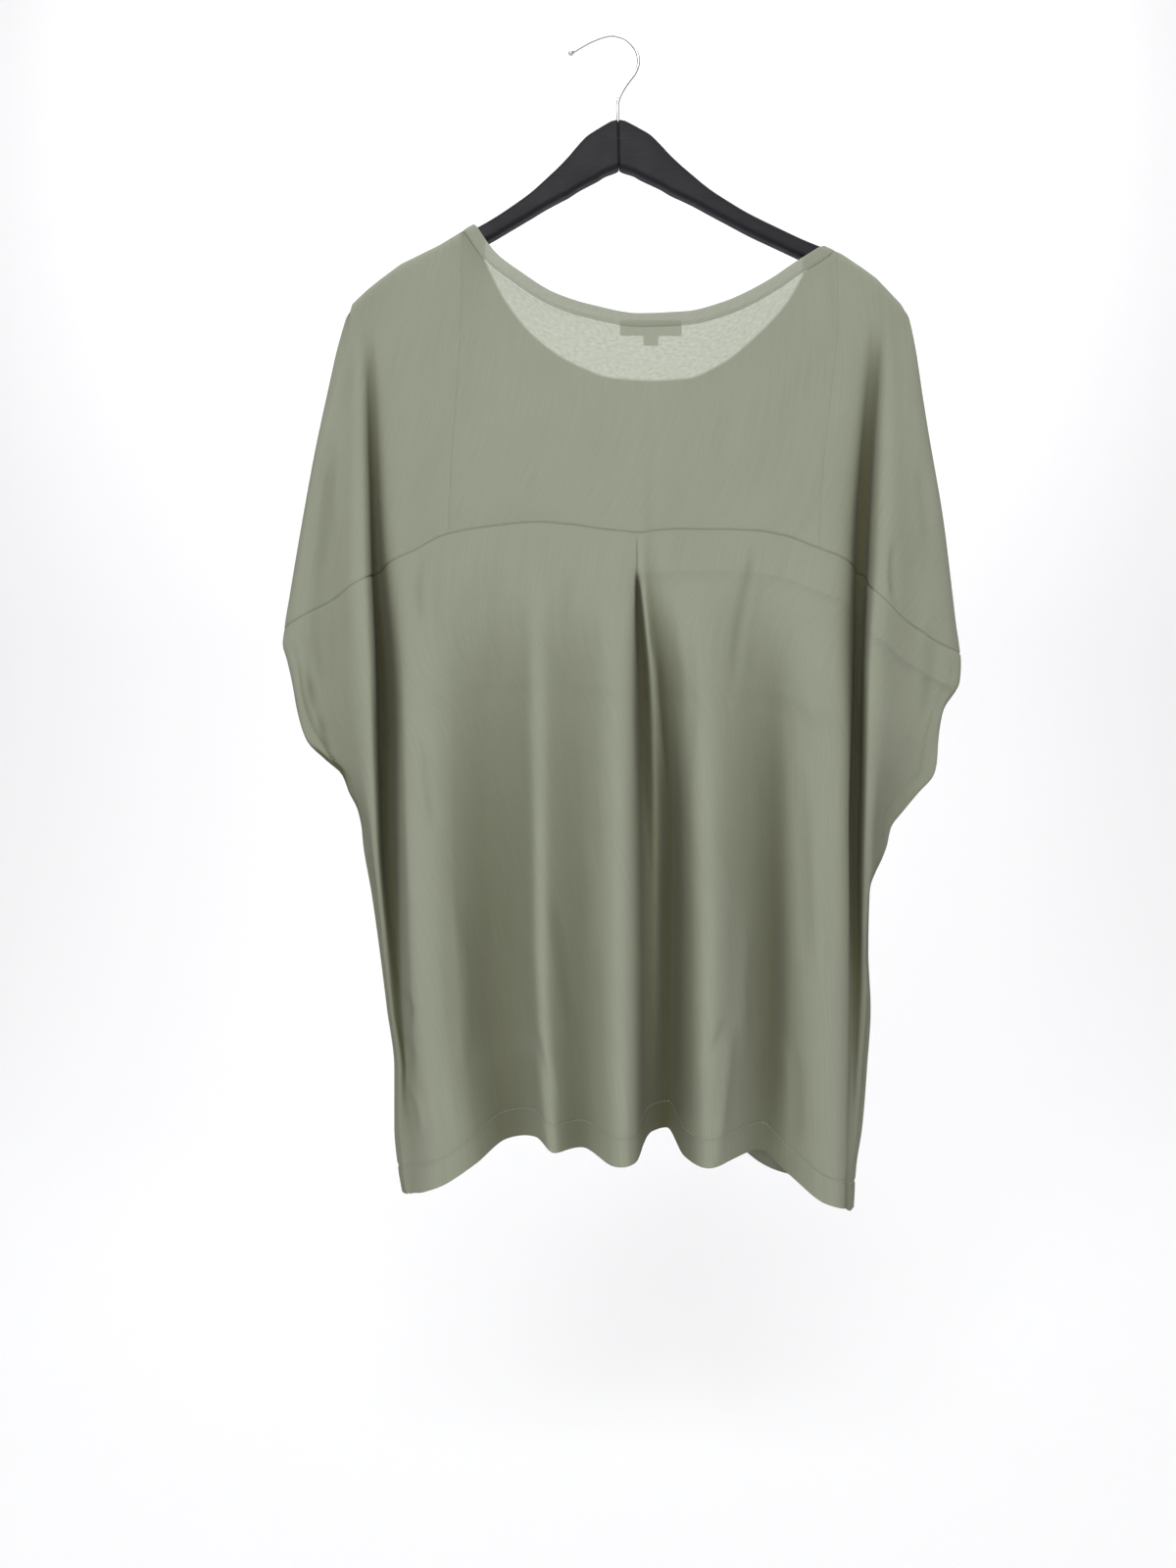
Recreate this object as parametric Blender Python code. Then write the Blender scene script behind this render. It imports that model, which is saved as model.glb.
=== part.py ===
"""A sheer jersey top on a two-piece wooden hanger, hung up by its wire hook.

The tables are in millimetres and the meshes are written in metres. X runs to the right as the
back of the top is seen, Y runs from the back of the top to its front, and Z is up. The origin is
the inner top of the hook, where a rod carries it, and the middle plane of the hanger is Y = 0.

The cloth is a back and a front wall. Each is a set of fold lines that run down the cloth. A level
cut through a wall is a smooth curve through its fold lines at that height.
"""

import math

import bmesh
import bpy
import numpy as np

MM = 0.001

# Cloth walls
WALL = 1.2
HEM_WALL = 2.4
HEM_BAND = 22.0
HEM_STEP = 0.8
GAP = 0.3
SEAM_GAP = 0.5
BINDING_WALL = 2.2
BINDING_WIDTH = 11.0
NECK_TURN = 14.0

# Where the cloth turns over the hanger's arms
ROUND_OVER = 9.5
ARM_DEPTH = 9.6
FALL = 75.0
SEAT = 1.8
NECK_SEAT = 2.2
NECK_SEAT_FROM = 160
NECK_SEAT_TO = 120

# How far the folds are softened, in folds, and how near the outline a side fold may come
SOFTNESS = 0.5
EDGE_FOLDS = 6
EDGE_STEP = 2.0

# Mesh density
COLUMNS_PER_FOLD = 2
YOKE_ROWS = 7
PANEL_ROWS = 14
FRONT_ROWS = 17
TOP_ROWS = (0.0, 1.3, 4.0, 9.0)
CORNER_STEPS = (0.0, 0.8, 3.0, 7.0)
COLUMN_ROOM = 0.12
SHARP_ANGLE = 50

# Steps and counts for looking places up on a wall or a neckline
NORMAL_STEP = (0.04, 0.4)
DEPTH_SAMPLES = 121
DEPTH_FOLDS_IN = 5
NECK_SAMPLES = 400
ARM_STEP = 10
TOP_TRIES = 12
HALVINGS = 40
TOUCHING = 0.01
ON_ARM = 1.0

# Heights at which the fold tables give a line's place
LEVELS = (-240, -430, -540, -660, -780, -925)

# The outline, where back and front are sewn together or, at the sleeve mouths, stand apart by
# twice the mouth column. Columns: height, left x, left mouth, right x, right mouth
OUTLINE = (
    (-229, -214, 0, 244, 0),
    (-270, -227, 0, 254, 0),
    (-335, -242, 0, 265, 0),
    (-400, -254, 0, 276, 0),
    (-465, -265, 0, 284, 0),
    (-490, -269, 0, 287, 0),
    (-503, -270, 3, 289, 0),
    (-516, -266, 6, 290, 3),
    (-535, -261, 9, 288, 7),
    (-560, -256, 11, 273, 11),
    (-584, -248, 12, 269, 12),
    (-600, -232, 12, 268, 12),
    (-611, -220, 10, 266, 11),
    (-627, -214, 7, 253, 9),
    (-640, -208, 4, 243, 6),
    (-656, -205, 0, 232, 3),
    (-668, -204, 0, 230, 0),
    (-709, -197, 0, 215, 0),
    (-758, -190, 0, 214, 0),
    (-806, -184, 0, 216, 0),
    (-855, -178, 0, 213, 0),
    (-904, -178, 0, 209, 0),
    (-937, -175, 0, 204, 0),
    (-970, -169, 0, 202, 0),
)
LEFT_MOUTH = (-503, -650)
RIGHT_MOUTH = (-516, -662)

# Heights of the yoke seam and of the hem at the left and right outlines
SEAM_ENDS = (-492, -512)
HEM_ENDS = (-957, -970)

# Fold lines of the back, left to right, between the two outlines.
# Columns: name, x at each level, depth away from the middle plane at each level,
# height of the yoke seam, height of the hem
BACK_FOLDS = (
    ("outer_roll", (-213, -248, -252, -201, -186, -174), (8, 12, 16, 9, 7, 5), -481, -957),
    ("sleeve_valley", (-211, -230, -234, -197, -184, -172), (10, 10, 11, 18, 13, 10), -471, -956),
    ("sleeve_ridge", (-207, -205, -199, -192, -181, -169), (12, 30, 44, 30, 18, 15), -457, -955),
    ("flap_edge", (-202, -194, -187, -186, -178, -166), (12, 24, 38, 27, 17, 16), -451, -954),
    ("left_pocket", (-198, -196, -192, -188, -175, -164), (12, 11, 11, 10, 13, 17), -449, -954),
    ("left_groove", (-195, -189, -184, -179, -171, -161), (12, 10, 6, 7, 13, 18), -446, -953),
    ("left_body", (-190, -181, -171, -165, -162, -156), (13, 24, 34, 39, 33, 24), -440, -951),
    ("left_panel", (-158, -162, -159, -157, -154, -139), (15, 29, 42, 46, 46, 38), -432, -943),
    ("left_turn", (-122, -133, -131, -129, -125, -109), (18, 30, 40, 42, 40, 36), -418, -926),
    ("left_valley", (-100, -104, -102, -101, -100, -84), (20, 28, 22, 15, 10, 5), -412, -911),
    ("second_edge", (-78, -73, -72, -69, -66, -57), (21, 30, 30, 28, 26, 22), -409, -906),
    ("second_ridge", (-56, -59, -58, -57, -55, -45), (23, 31, 42, 46, 46, 44), -408, -915),
    ("second_valley", (-32, -33, -31, -28, -26, -23), (25, 30, 28, 24, 21, 16), -410, -914),
    ("third_ridge", (-8, -5, -4, -2, -1, 5), (26, 32, 48, 53, 54, 54), -414, -923),
    ("pleat_left", (10, 14, 16, 17, 18, 20), (26, 33, 46, 50, 50, 46), -416, -921),
    ("pleat_under", (19, 20, 25, 26, 27, 26), (26, 32, 34, 35, 33, 27), -417, -911),
    ("pleat_roll", (28, 26, 33, 35, 36, 33), (26, 33, 39, 37, 29, 16), -417, -903),
    ("pleat_floor", (37, 32, 42, 51, 50, 47), (26, 31, 24, 12, 8, 5), -416, -902),
    ("pleat_right", (46, 39, 53, 60, 61, 60), (26, 33, 36, 40, 38, 28), -415, -920),
    ("right_ridge", (66, 58, 69, 75, 77, 77), (25, 32, 50, 55, 56, 54), -414, -924),
    ("right_slope", (94, 89, 95, 98, 100, 99), (23, 31, 40, 40, 38, 32), -414, -921),
    ("right_valley", (126, 117, 123, 129, 132, 124), (20, 30, 26, 18, 12, 6), -415, -919),
    ("right_flap", (158, 141, 141, 142, 143, 142), (18, 30, 38, 38, 36, 23), -419, -935),
    ("right_panel", (187, 168, 168, 169, 171, 175), (17, 30, 44, 47, 46, 36), -429, -957),
    ("right_body", (210, 197, 195, 191, 191, 190), (14, 25, 34, 40, 36, 27), -439, -963),
    ("right_groove", (216, 202, 200, 196, 196, 193), (12, 10, 6, 7, 13, 20), -446, -965),
    ("right_pocket", (221, 211, 208, 205, 203, 197), (12, 11, 11, 10, 13, 18), -450, -966),
    ("right_edge", (225, 210, 203, 203, 205, 198), (12, 28, 39, 30, 16, 17), -460, -967),
    ("right_roll", (230, 221, 212, 210, 209, 200), (12, 36, 44, 32, 17, 14), -470, -969),
    ("right_dip", (235, 243, 243, 218, 212, 202), (10, 22, 22, 19, 12, 10), -489, -970),
    ("outer_right", (240, 269, 273, 226, 214, 204), (8, 14, 17, 9, 6, 5), -505, -970),
)

# Fold lines of the front. Columns: name, x at each level, depth at each level, height of the hem
FRONT_FOLDS = (
    ("outer_roll", (-213, -249, -253, -201, -186, -174), (8, 12, 15, 9, 7, 5), -957),
    ("sleeve_valley", (-211, -234, -238, -196, -184, -172), (10, 12, 14, 18, 13, 10), -956),
    ("sleeve_ridge", (-206, -212, -208, -189, -180, -169), (12, 28, 38, 30, 19, 15), -954),
    ("left_groove", (-198, -194, -188, -179, -172, -162), (12, 15, 15, 16, 14, 15), -953),
    ("left_body", (-190, -176, -168, -162, -157, -150), (13, 26, 36, 40, 36, 27), -951),
    ("left_panel", (-158, -149, -144, -140, -137, -128), (15, 30, 42, 46, 44, 36), -940),
    ("left_valley", (-122, -117, -112, -108, -105, -98), (18, 30, 30, 22, 16, 10), -915),
    ("left_ridge", (-92, -81, -76, -72, -69, -64), (20, 31, 44, 50, 52, 48), -915),
    ("left_slope", (-62, -53, -48, -45, -42, -38), (23, 30, 36, 36, 34, 30), -910),
    ("middle_valley", (-32, -26, -22, -20, -18, -16), (25, 30, 26, 18, 13, 9), -908),
    ("middle_ridge", (2, 4, 8, 12, 15, 20), (26, 32, 46, 53, 56, 56), -910),
    ("middle_slope", (38, 38, 40, 42, 44, 46), (26, 31, 36, 36, 34, 30), -905),
    ("right_valley", (72, 69, 68, 68, 68, 68), (25, 30, 26, 18, 12, 8), -914),
    ("right_ridge", (106, 101, 102, 104, 105, 106), (23, 31, 44, 50, 50, 46), -926),
    ("right_slope", (142, 129, 128, 128, 128, 130), (20, 30, 32, 28, 24, 20), -940),
    ("right_dip", (187, 156, 153, 151, 151, 152), (17, 30, 28, 20, 14, 10), -947),
    ("right_panel", (200, 178, 173, 171, 171, 173), (15, 30, 40, 42, 40, 30), -957),
    ("right_body", (212, 198, 191, 186, 186, 186), (13, 26, 36, 38, 34, 26), -962),
    ("right_groove", (220, 215, 210, 203, 199, 194), (12, 15, 15, 15, 13, 16), -966),
    ("sleeve_ridge", (230, 231, 228, 213, 207, 199), (12, 30, 40, 30, 18, 15), -968),
    ("sleeve_valley", (235, 250, 253, 221, 212, 202), (10, 16, 18, 18, 12, 10), -970),
    ("outer_roll", (240, 270, 275, 226, 214, 204), (8, 12, 16, 9, 6, 5), -970),
)

# The neckline's upper edge. Columns: x, height
BACK_NECK = (
    (-92, -186), (-72, -203), (-44, -221), (-15, -231), (24, -238),
    (62, -236), (91, -228), (111, -219), (131, -207), (151, -192),
)
FRONT_NECK = (
    (-104, -183), (-87, -217), (-57, -253), (-27, -273), (3, -284),
    (35, -286), (64, -284), (93, -271), (123, -246), (148, -218), (162, -194),
)
NECK_POINTS = (-112, 177)

# Label and size tag, sewn in behind the back neck. Columns: name, left, right, top, bottom, depth
# of their middle inside the cloth's middle
LABELS = (
    ("label", 8, 58, -244, -257, 1.9),
    ("size_tag", 27, 39, -254, -265, 2.8),
)
LABEL_WALL = 0.6
LABEL_COLUMNS = 6
LABEL_ROWS = 3

# The hanger, in its own frame from the top of its hump: distance from the joint, top, bottom,
# half thickness
HANGER_APEX = (7, -70)
HANGER_TILT = 1.3
JOINT_GAP = 0.15
ARM = (
    (JOINT_GAP, 0, -40, 7),
    (5, -1, -42, 7),
    (11, -4, -44, 7),
    (18, -8, -48, 7),
    (26, -13, -52, 7),
    (34, -21, -56, 7),
    (42, -30, -61, 7),
    (50, -38, -65, 7),
    (60, -47, -70, 7),
    (74, -59, -78, 7),
    (90, -70, -87, 7),
    (106, -80, -96, 7),
    (128, -91.5, -107, 7),
    (150, -102.5, -118, 7),
    (182, -117, -134, 7),
    (199, -129, -147, 7),
    (210, -137.5, -155, 6.5),
    (216, -144, -158, 5),
    (219, -149, -156, 2.5),
)
ARM_CORNER = 5.5
CORNER_SHARE = 0.95

# The line over the arms where back and front meet. It leaves the arms at the tips, and between
# the neck points it stands far above the cloth, which hangs free there. Tips: x, height
SHOULDER_FROM = 100
SHOULDER_TO = 212
SHOULDER_PEAK = 60
LEFT_TIP = ((-214, -229), (-212, -222))
RIGHT_TIP = ((240, -222), (244, -229))

# The wire hook
WIRE = 1.4
BORE = 1.8
STEM_DEPTH = 14.0
HOOK_POINTS = (
    (7, -84), (7, -70), (7, -54), (10, -46), (15, -38), (21, -30), (24, -21), (22, -11),
    (14, -2), (6, 1), (0, WIRE), (-9, -1), (-18, -5), (-25, -9), (-30, -12),
)
HOOK_STEPS = 2
WIRE_SIDES = 8
BORE_SIDES = 16
BALL = 2.3
BALL_TURNS = (45, 65, 90, 115, 140, 165)

# Colours, roughness and metallic values: name, colour, roughness, metallic
FINISHES = {
    "jersey": ((0.30, 0.32, 0.23, 1), 0.85, 0.0),
    "binding": ((0.29, 0.31, 0.23, 1), 0.85, 0.0),
    "tape": ((0.33, 0.35, 0.28, 1), 0.7, 0.0),
    "painted_wood": ((0.035, 0.033, 0.04, 1), 0.4, 0.0),
    "steel": ((0.6, 0.6, 0.6, 1), 0.3, 1.0),
}


def clear():
    """Removes whatever the file opened with."""
    for thing in list(bpy.data.objects):
        bpy.data.objects.remove(thing)


def finish(name):
    """The material of that name, made on its first use."""
    if name in bpy.data.materials:
        return bpy.data.materials[name]
    colour, roughness, metallic = FINISHES[name]
    material = bpy.data.materials.new(name)
    material.use_nodes = True
    shader = material.node_tree.nodes["Principled BSDF"]
    shader.inputs["Base Color"].default_value = colour
    shader.inputs["Roughness"].default_value = roughness
    shader.inputs["Metallic"].default_value = metallic
    material.diffuse_color = colour
    return material


def add_object(name, points, faces, finish_name):
    """A mesh object from points in millimetres."""
    mesh = bpy.data.meshes.new(name)
    mesh.from_pydata([tuple(MM * value for value in point) for point in points], [], faces)
    solid = bmesh.new()
    solid.from_mesh(mesh)
    bmesh.ops.recalc_face_normals(solid, faces=solid.faces)
    solid.to_mesh(mesh)
    solid.free()
    thing = bpy.data.objects.new(name, mesh)
    bpy.context.scene.collection.objects.link(thing)
    mesh.materials.append(finish(finish_name))
    mesh.shade_smooth()
    mesh.set_sharp_from_angle(angle=math.radians(SHARP_ANGLE))
    return thing


def smooth_through(knots, values, at):
    """A smooth curve through the values that never swings past them (monotone cubic)."""
    knots, values = np.asarray(knots, float), np.asarray(values, float)
    if knots[0] > knots[-1]:
        knots, values = knots[::-1], values[::-1]
    at = np.clip(np.asarray(at, float), knots[0], knots[-1])
    step = np.diff(knots)
    slope = np.diff(values) / step
    tangent = np.zeros_like(values)
    tangent[0], tangent[-1] = slope[0], slope[-1]
    same_way = slope[:-1] * slope[1:] > 0
    weight_a = 2 * step[1:] + step[:-1]
    weight_b = step[1:] + 2 * step[:-1]
    with np.errstate(divide="ignore", invalid="ignore"):
        mean = (weight_a + weight_b) / (weight_a / slope[:-1] + weight_b / slope[1:])
    tangent[1:-1] = np.where(same_way, mean, 0.0)
    i = np.clip(np.searchsorted(knots, at, side="right") - 1, 0, len(step) - 1)
    t = (at - knots[i]) / step[i]
    start = (1 + 2 * t) * (1 - t) ** 2 * values[i] + t * (1 - t) ** 2 * step[i] * tangent[i]
    end = t * t * (3 - 2 * t) * values[i + 1] + t * t * (t - 1) * step[i] * tangent[i + 1]
    return start + end


def ease(value):
    """0 to 1 with level ends."""
    value = np.clip(value, 0.0, 1.0)
    return value * value * (3 - 2 * value)


def hanger_place(side, distance, height):
    """The x and height of a point of the tilted hanger; side is -1 on the left, 1 on the right."""
    tilt = math.radians(HANGER_TILT)
    x = HANGER_APEX[0] + math.cos(tilt) * side * distance - math.sin(tilt) * height
    z = HANGER_APEX[1] + math.sin(tilt) * side * distance + math.cos(tilt) * height
    return x, z


def shoulder_line():
    """The line where back and front meet over the arms, as x and height from left to right."""
    tops = []
    for distance, top, _, _ in ARM:
        if SHOULDER_FROM < distance < SHOULDER_TO:
            raised = (NECK_SEAT_FROM - distance) / (NECK_SEAT_FROM - NECK_SEAT_TO)
            tops.append((distance, top + SEAT + NECK_SEAT * float(ease(raised))))
    left = [hanger_place(-1, *row) for row in reversed(tops)]
    right = [hanger_place(1, *row) for row in tops]
    peak = (HANGER_APEX[0], left[-1][1] + SHOULDER_PEAK)
    return np.array([*LEFT_TIP, *left, peak, *right, *RIGHT_TIP], float)


SHOULDER = shoulder_line()


def shoulder_height(x):
    return np.interp(x, SHOULDER[:, 0], SHOULDER[:, 1])


def over_arms(x, z, depth):
    """A wall's depth, drawn in where it lies on the arms and turns over them."""
    drop = shoulder_height(x) - z
    depth = ARM_DEPTH + (depth - ARM_DEPTH) * ease(drop / FALL)
    turn = np.clip(drop / ROUND_OVER, 0.0, 1.0)
    return np.maximum(depth * np.sqrt(1 - (1 - turn) ** 2), GAP / 2)


class Wall:
    """The back or the front of the top, as a surface over fold number and height."""

    def __init__(self, side, folds):
        self.side = side
        self.folds = folds
        self.last = len(folds) + 1

    def line(self, number, z):
        """x and depth of a fold line; numbers 0 and last are the outlines."""
        heights = [row[0] for row in OUTLINE]
        if number in (0, self.last):
            column = 1 if number == 0 else 3
            x = smooth_through(heights, [row[column] for row in OUTLINE], z)
            depth = smooth_through(heights, [row[column + 1] for row in OUTLINE], z)
            return x, np.maximum(depth, GAP / 2)
        row = self.folds[number - 1]
        x = smooth_through(LEVELS, row[1], z)
        if number <= EDGE_FOLDS:
            x = np.maximum(x, self.line(0, z)[0] + EDGE_STEP * number)
        if number >= self.last - EDGE_FOLDS:
            x = np.minimum(x, self.line(self.last, z)[0] - EDGE_STEP * (self.last - number))
        return x, smooth_through(LEVELS, row[2], z)

    def section(self, at, z):
        """x and depth of the softened level cut at a fold number and heights z."""
        softness = SOFTNESS * float(ease(min(at, self.last - at)))
        ahead, behind = self.sharp_section(at + softness, z), self.sharp_section(at - softness, z)
        x, depth = (2 * self.sharp_section(at, z) + ahead + behind) / 4
        return x, np.maximum(depth, GAP / 2)

    def sharp_section(self, at, z):
        """x and depth of the level cut through the fold lines, before it is softened."""
        i = int(min(max(math.floor(at), 0), self.last - 1))
        points = []
        for number in range(i - 1, i + 3):
            if number < 0:
                x, depth = self.line(1, z)
                depth = -depth
            elif number > self.last:
                x, depth = self.line(self.last - 1, z)
                depth = -depth
            else:
                x, depth = self.line(number, z)
            points.append(np.stack([x, depth], axis=-1))
        return np.moveaxis(through_four(points, at - i), -1, 0)

    def place(self, at, z):
        """Points of the wall's middle surface at a fold number and heights z."""
        z = np.asarray(z, float)
        x, depth = self.section(at, z)
        return np.stack([x, self.side * over_arms(x, z, depth), z], axis=-1)

    def depth_at(self, x, z):
        """The wall's y where it shows at x and z, on its smooth upper part."""
        across = np.linspace(DEPTH_FOLDS_IN, self.last - DEPTH_FOLDS_IN, DEPTH_SAMPLES)
        cut = np.array([self.section(at, z) for at in across])
        order = np.argsort(cut[:, 0])
        depth = np.interp(x, cut[order, 0], cut[order, 1])
        return self.side * float(over_arms(x, z, depth))

    def outward(self, at, z):
        """The direction that faces away from the hollow of the top at each of those points."""
        z = np.asarray(z, float)
        aside, drop = NORMAL_STEP
        across = self.place(at + aside, z) - self.place(at - aside, z)
        down = self.place(at, z - drop) - self.place(at, z + drop)
        normal = np.cross(across, down) * self.side
        return normal / np.linalg.norm(normal, axis=-1, keepdims=True)

    def between_ends(self, ends, column, at):
        """A height at a fold number, from a column of the fold table and its two end values."""
        knots = (ends[0], *[row[column] for row in self.folds], ends[1])
        return float(smooth_through(range(self.last + 1), knots, at))

    def hem(self, at):
        return self.between_ends(HEM_ENDS, -1, at)

    def seam(self, at):
        return self.between_ends(SEAM_ENDS, 3, at)


def through_four(points, t):
    """The curve between the middle two of four points, with knots that suit uneven spacing."""
    gaps = [
        np.maximum(np.linalg.norm(b - a, axis=-1, keepdims=True), 1e-6) ** 0.5
        for a, b in zip(points, points[1:])
    ]
    k0 = np.zeros_like(gaps[0])
    k1 = k0 + gaps[0]
    k2 = k1 + gaps[1]
    k3 = k2 + gaps[2]
    k = k1 + t * gaps[1]
    a, b, c, d = points
    ab = (k1 - k) / (k1 - k0) * a + (k - k0) / (k1 - k0) * b
    bc = (k2 - k) / (k2 - k1) * b + (k - k1) / (k2 - k1) * c
    cd = (k3 - k) / (k3 - k2) * c + (k - k2) / (k3 - k2) * d
    abc = (k2 - k) / (k2 - k0) * ab + (k - k0) / (k2 - k0) * bc
    bcd = (k3 - k) / (k3 - k1) * bc + (k - k1) / (k3 - k1) * cd
    return (k2 - k) / (k2 - k1) * abc + (k - k1) / (k2 - k1) * bcd


class Neck:
    """One wall's neckline: its upper edge, and the direction across the binding at each place."""

    def __init__(self, table):
        ends = [(x, float(shoulder_height(x))) for x in NECK_POINTS]
        self.given = np.array([ends[0], *table, ends[1]], float)
        pieces = np.linalg.norm(np.diff(self.given, axis=0), axis=1)
        self.along = np.concatenate([[0], np.cumsum(pieces)])
        self.length = self.along[-1]

    def edge(self, at):
        """x and height of the upper edge at lengths along it."""
        return np.stack([smooth_through(self.along, self.given[:, k], at) for k in (0, 1)], axis=-1)

    def across(self, at):
        """The direction from the upper edge to the lower one. Over the arms it lies along them."""
        at = np.asarray(at, float)
        way = self.edge(at + 1) - self.edge(at - 1)
        out = np.stack([way[..., 1], -way[..., 0]], axis=-1)
        out /= np.linalg.norm(out, axis=-1, keepdims=True)
        left, right = NECK_POINTS
        for end, x, step in ((0, left, -ARM_STEP), (self.length, right, ARM_STEP)):
            arm = np.array([step, float(shoulder_height(x + step) - shoulder_height(x))])
            arm /= np.linalg.norm(arm)
            near = 1 - ease(np.abs(at - end) / NECK_TURN)[..., None]
            out = out * (1 - near) + arm * near
        return out / np.linalg.norm(out, axis=-1, keepdims=True)

    def outside(self, at, width):
        """x and height of the line that lies that width below the upper edge."""
        return self.edge(at) + width * self.across(at)

    def place_of(self, x):
        """The length along the edge whose lower line, below the binding, is at x."""
        at = np.linspace(0, self.length, NECK_SAMPLES)
        return float(np.interp(x, self.outside(at, BINDING_WIDTH + GAP)[:, 0], at))


def cloth_top(wall, neck, at):
    """Height of a wall's upper edge at a fold number, and its place on the neckline, if any."""
    corners = neck.outside(np.array([0.0, neck.length]), BINDING_WIDTH + GAP)
    z = float(LEVELS[0])
    for _ in range(TOP_TRIES):
        x = float(wall.section(at, np.array(z))[0])
        on_neck = corners[0, 0] - TOUCHING < x < corners[1, 0] + TOUCHING
        place = neck.place_of(x) if on_neck else None
        z = float(neck.outside(place, BINDING_WIDTH + GAP)[1] if on_neck else shoulder_height(x))
    return z, place


def fold_number_at(wall, x):
    """The fold number whose column stands at x on the shoulders."""
    low, high = 0.0, float(wall.last)
    for _ in range(HALVINGS):
        middle = (low + high) / 2
        if float(wall.section(middle, np.array(float(LEVELS[0])))[0]) < x:
            low = middle
        else:
            high = middle
    return (low + high) / 2


def columns(wall, neck):
    """Where the mesh's columns run, as fold numbers, with more of them at the neck's corners."""
    steps = wall.last * COLUMNS_PER_FOLD
    numbers = [step / COLUMNS_PER_FOLD for step in range(steps + 1)]
    corners = neck.outside(np.array([0.0, neck.length]), BINDING_WIDTH + GAP)[:, 0]
    for corner, way in zip(corners, (1, -1)):
        extra = [fold_number_at(wall, corner + way * step) for step in CORNER_STEPS]
        numbers = [n for n in numbers if min(abs(n - e) for e in extra) > COLUMN_ROOM] + extra
    return sorted(numbers)


def close_wall(name, outer, inner, finish_name, ring=False):
    """A closed solid between two grids of columns and rows; a ring's last column joins its first."""
    count, rows = outer.shape[:2]
    half = count * rows
    points = np.concatenate([outer.reshape(-1, 3), inner.reshape(-1, 3)])
    faces = []

    def corner(c, r):
        return (c % count) * rows + r

    def rim(a, b):
        faces.append((a, b, half + b, half + a))

    for c in range(count if ring else count - 1):
        for r in range(rows - 1):
            quad = (corner(c, r), corner(c, r + 1), corner(c + 1, r + 1), corner(c + 1, r))
            faces.append(quad)
            faces.append(tuple(half + k for k in reversed(quad)))
        rim(corner(c, 0), corner(c + 1, 0))
        rim(corner(c + 1, rows - 1), corner(c, rows - 1))
    if not ring:
        for r in range(rows - 1):
            rim(corner(0, r + 1), corner(0, r))
            rim(corner(count - 1, r), corner(count - 1, r + 1))
    return add_object(name, points, faces, finish_name)


def sheet(name, wall, numbers, heights, thickness, on_shoulder):
    """A cloth wall over the given columns; heights and thickness hold one list for each column."""
    grid = np.array([wall.place(at, column) for at, column in zip(numbers, heights)])
    normal = np.array([wall.outward(at, column) for at, column in zip(numbers, heights)])
    level = np.array([1.0, 0.0, 1.0])
    normal[0] *= level
    normal[-1] *= level
    if on_shoulder:
        on_arm = np.abs(grid[:, 0, 1]) < ON_ARM
        normal[on_arm, 0] *= level
    normal /= np.linalg.norm(normal, axis=2, keepdims=True)
    outer = grid + normal * WALL / 2
    inner = outer - normal * np.asarray(thickness)[:, :, None]
    if wall.side > 0:
        outer, inner = outer[::-1], inner[::-1]
    return close_wall(name, outer, inner, "jersey")


def mouth_wall(at, last, z):
    """The turned sleeve hem: the wall is double beside the sleeve mouths."""
    left = at <= 1.0 and LEFT_MOUTH[1] < z < LEFT_MOUTH[0]
    right = at >= last - 1.0 and RIGHT_MOUTH[1] < z < RIGHT_MOUTH[0]
    return HEM_WALL if left or right else WALL


def down_to_hem(top, hem, rows):
    """Heights down a column, with the turned hem's step just above its band."""
    band = hem + HEM_BAND
    upper = np.linspace(top, band + HEM_STEP, rows + 1)
    return [*upper, band, hem]


def hem_thickness(at, last, column):
    """Wall thickness down a column that ends in the turned hem."""
    return [mouth_wall(at, last, z) for z in column[:-2]] + [HEM_WALL, HEM_WALL]


def back_yoke(wall, neck):
    """The back's upper piece, across both sleeves, from the shoulders down to the curved seam."""
    numbers = columns(wall, neck)
    heights = []
    for at in numbers:
        top, _ = cloth_top(wall, neck, at)
        seam = wall.seam(at) + SEAM_GAP / 2
        upper = [top - drop for drop in TOP_ROWS]
        heights.append([*upper, *np.linspace(upper[-1], seam, YOKE_ROWS + 1)[1:]])
    thickness = [[WALL] * len(column) for column in heights]
    return sheet("back_yoke", wall, numbers, heights, thickness, True)


def back_panel(wall, neck):
    """The back's lower piece, with the sleeves' lower backs, the pleat and the hem."""
    numbers = columns(wall, neck)
    heights = []
    for at in numbers:
        seam = wall.seam(at) - SEAM_GAP / 2
        heights.append(down_to_hem(seam, wall.hem(at), PANEL_ROWS))
    thickness = [hem_thickness(at, wall.last, column) for at, column in zip(numbers, heights)]
    return sheet("back_panel", wall, numbers, heights, thickness, False)


def front(wall, neck):
    """The front, with the fronts of both sleeves, in one piece."""
    numbers = columns(wall, neck)
    heights = []
    for at in numbers:
        top, _ = cloth_top(wall, neck, at)
        upper = [top - drop for drop in TOP_ROWS[:-1]]
        heights.append([*upper, *down_to_hem(top - TOP_ROWS[-1], wall.hem(at), FRONT_ROWS)])
    thickness = [hem_thickness(at, wall.last, column) for at, column in zip(numbers, heights)]
    return sheet("front", wall, numbers, heights, thickness, True)


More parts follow.
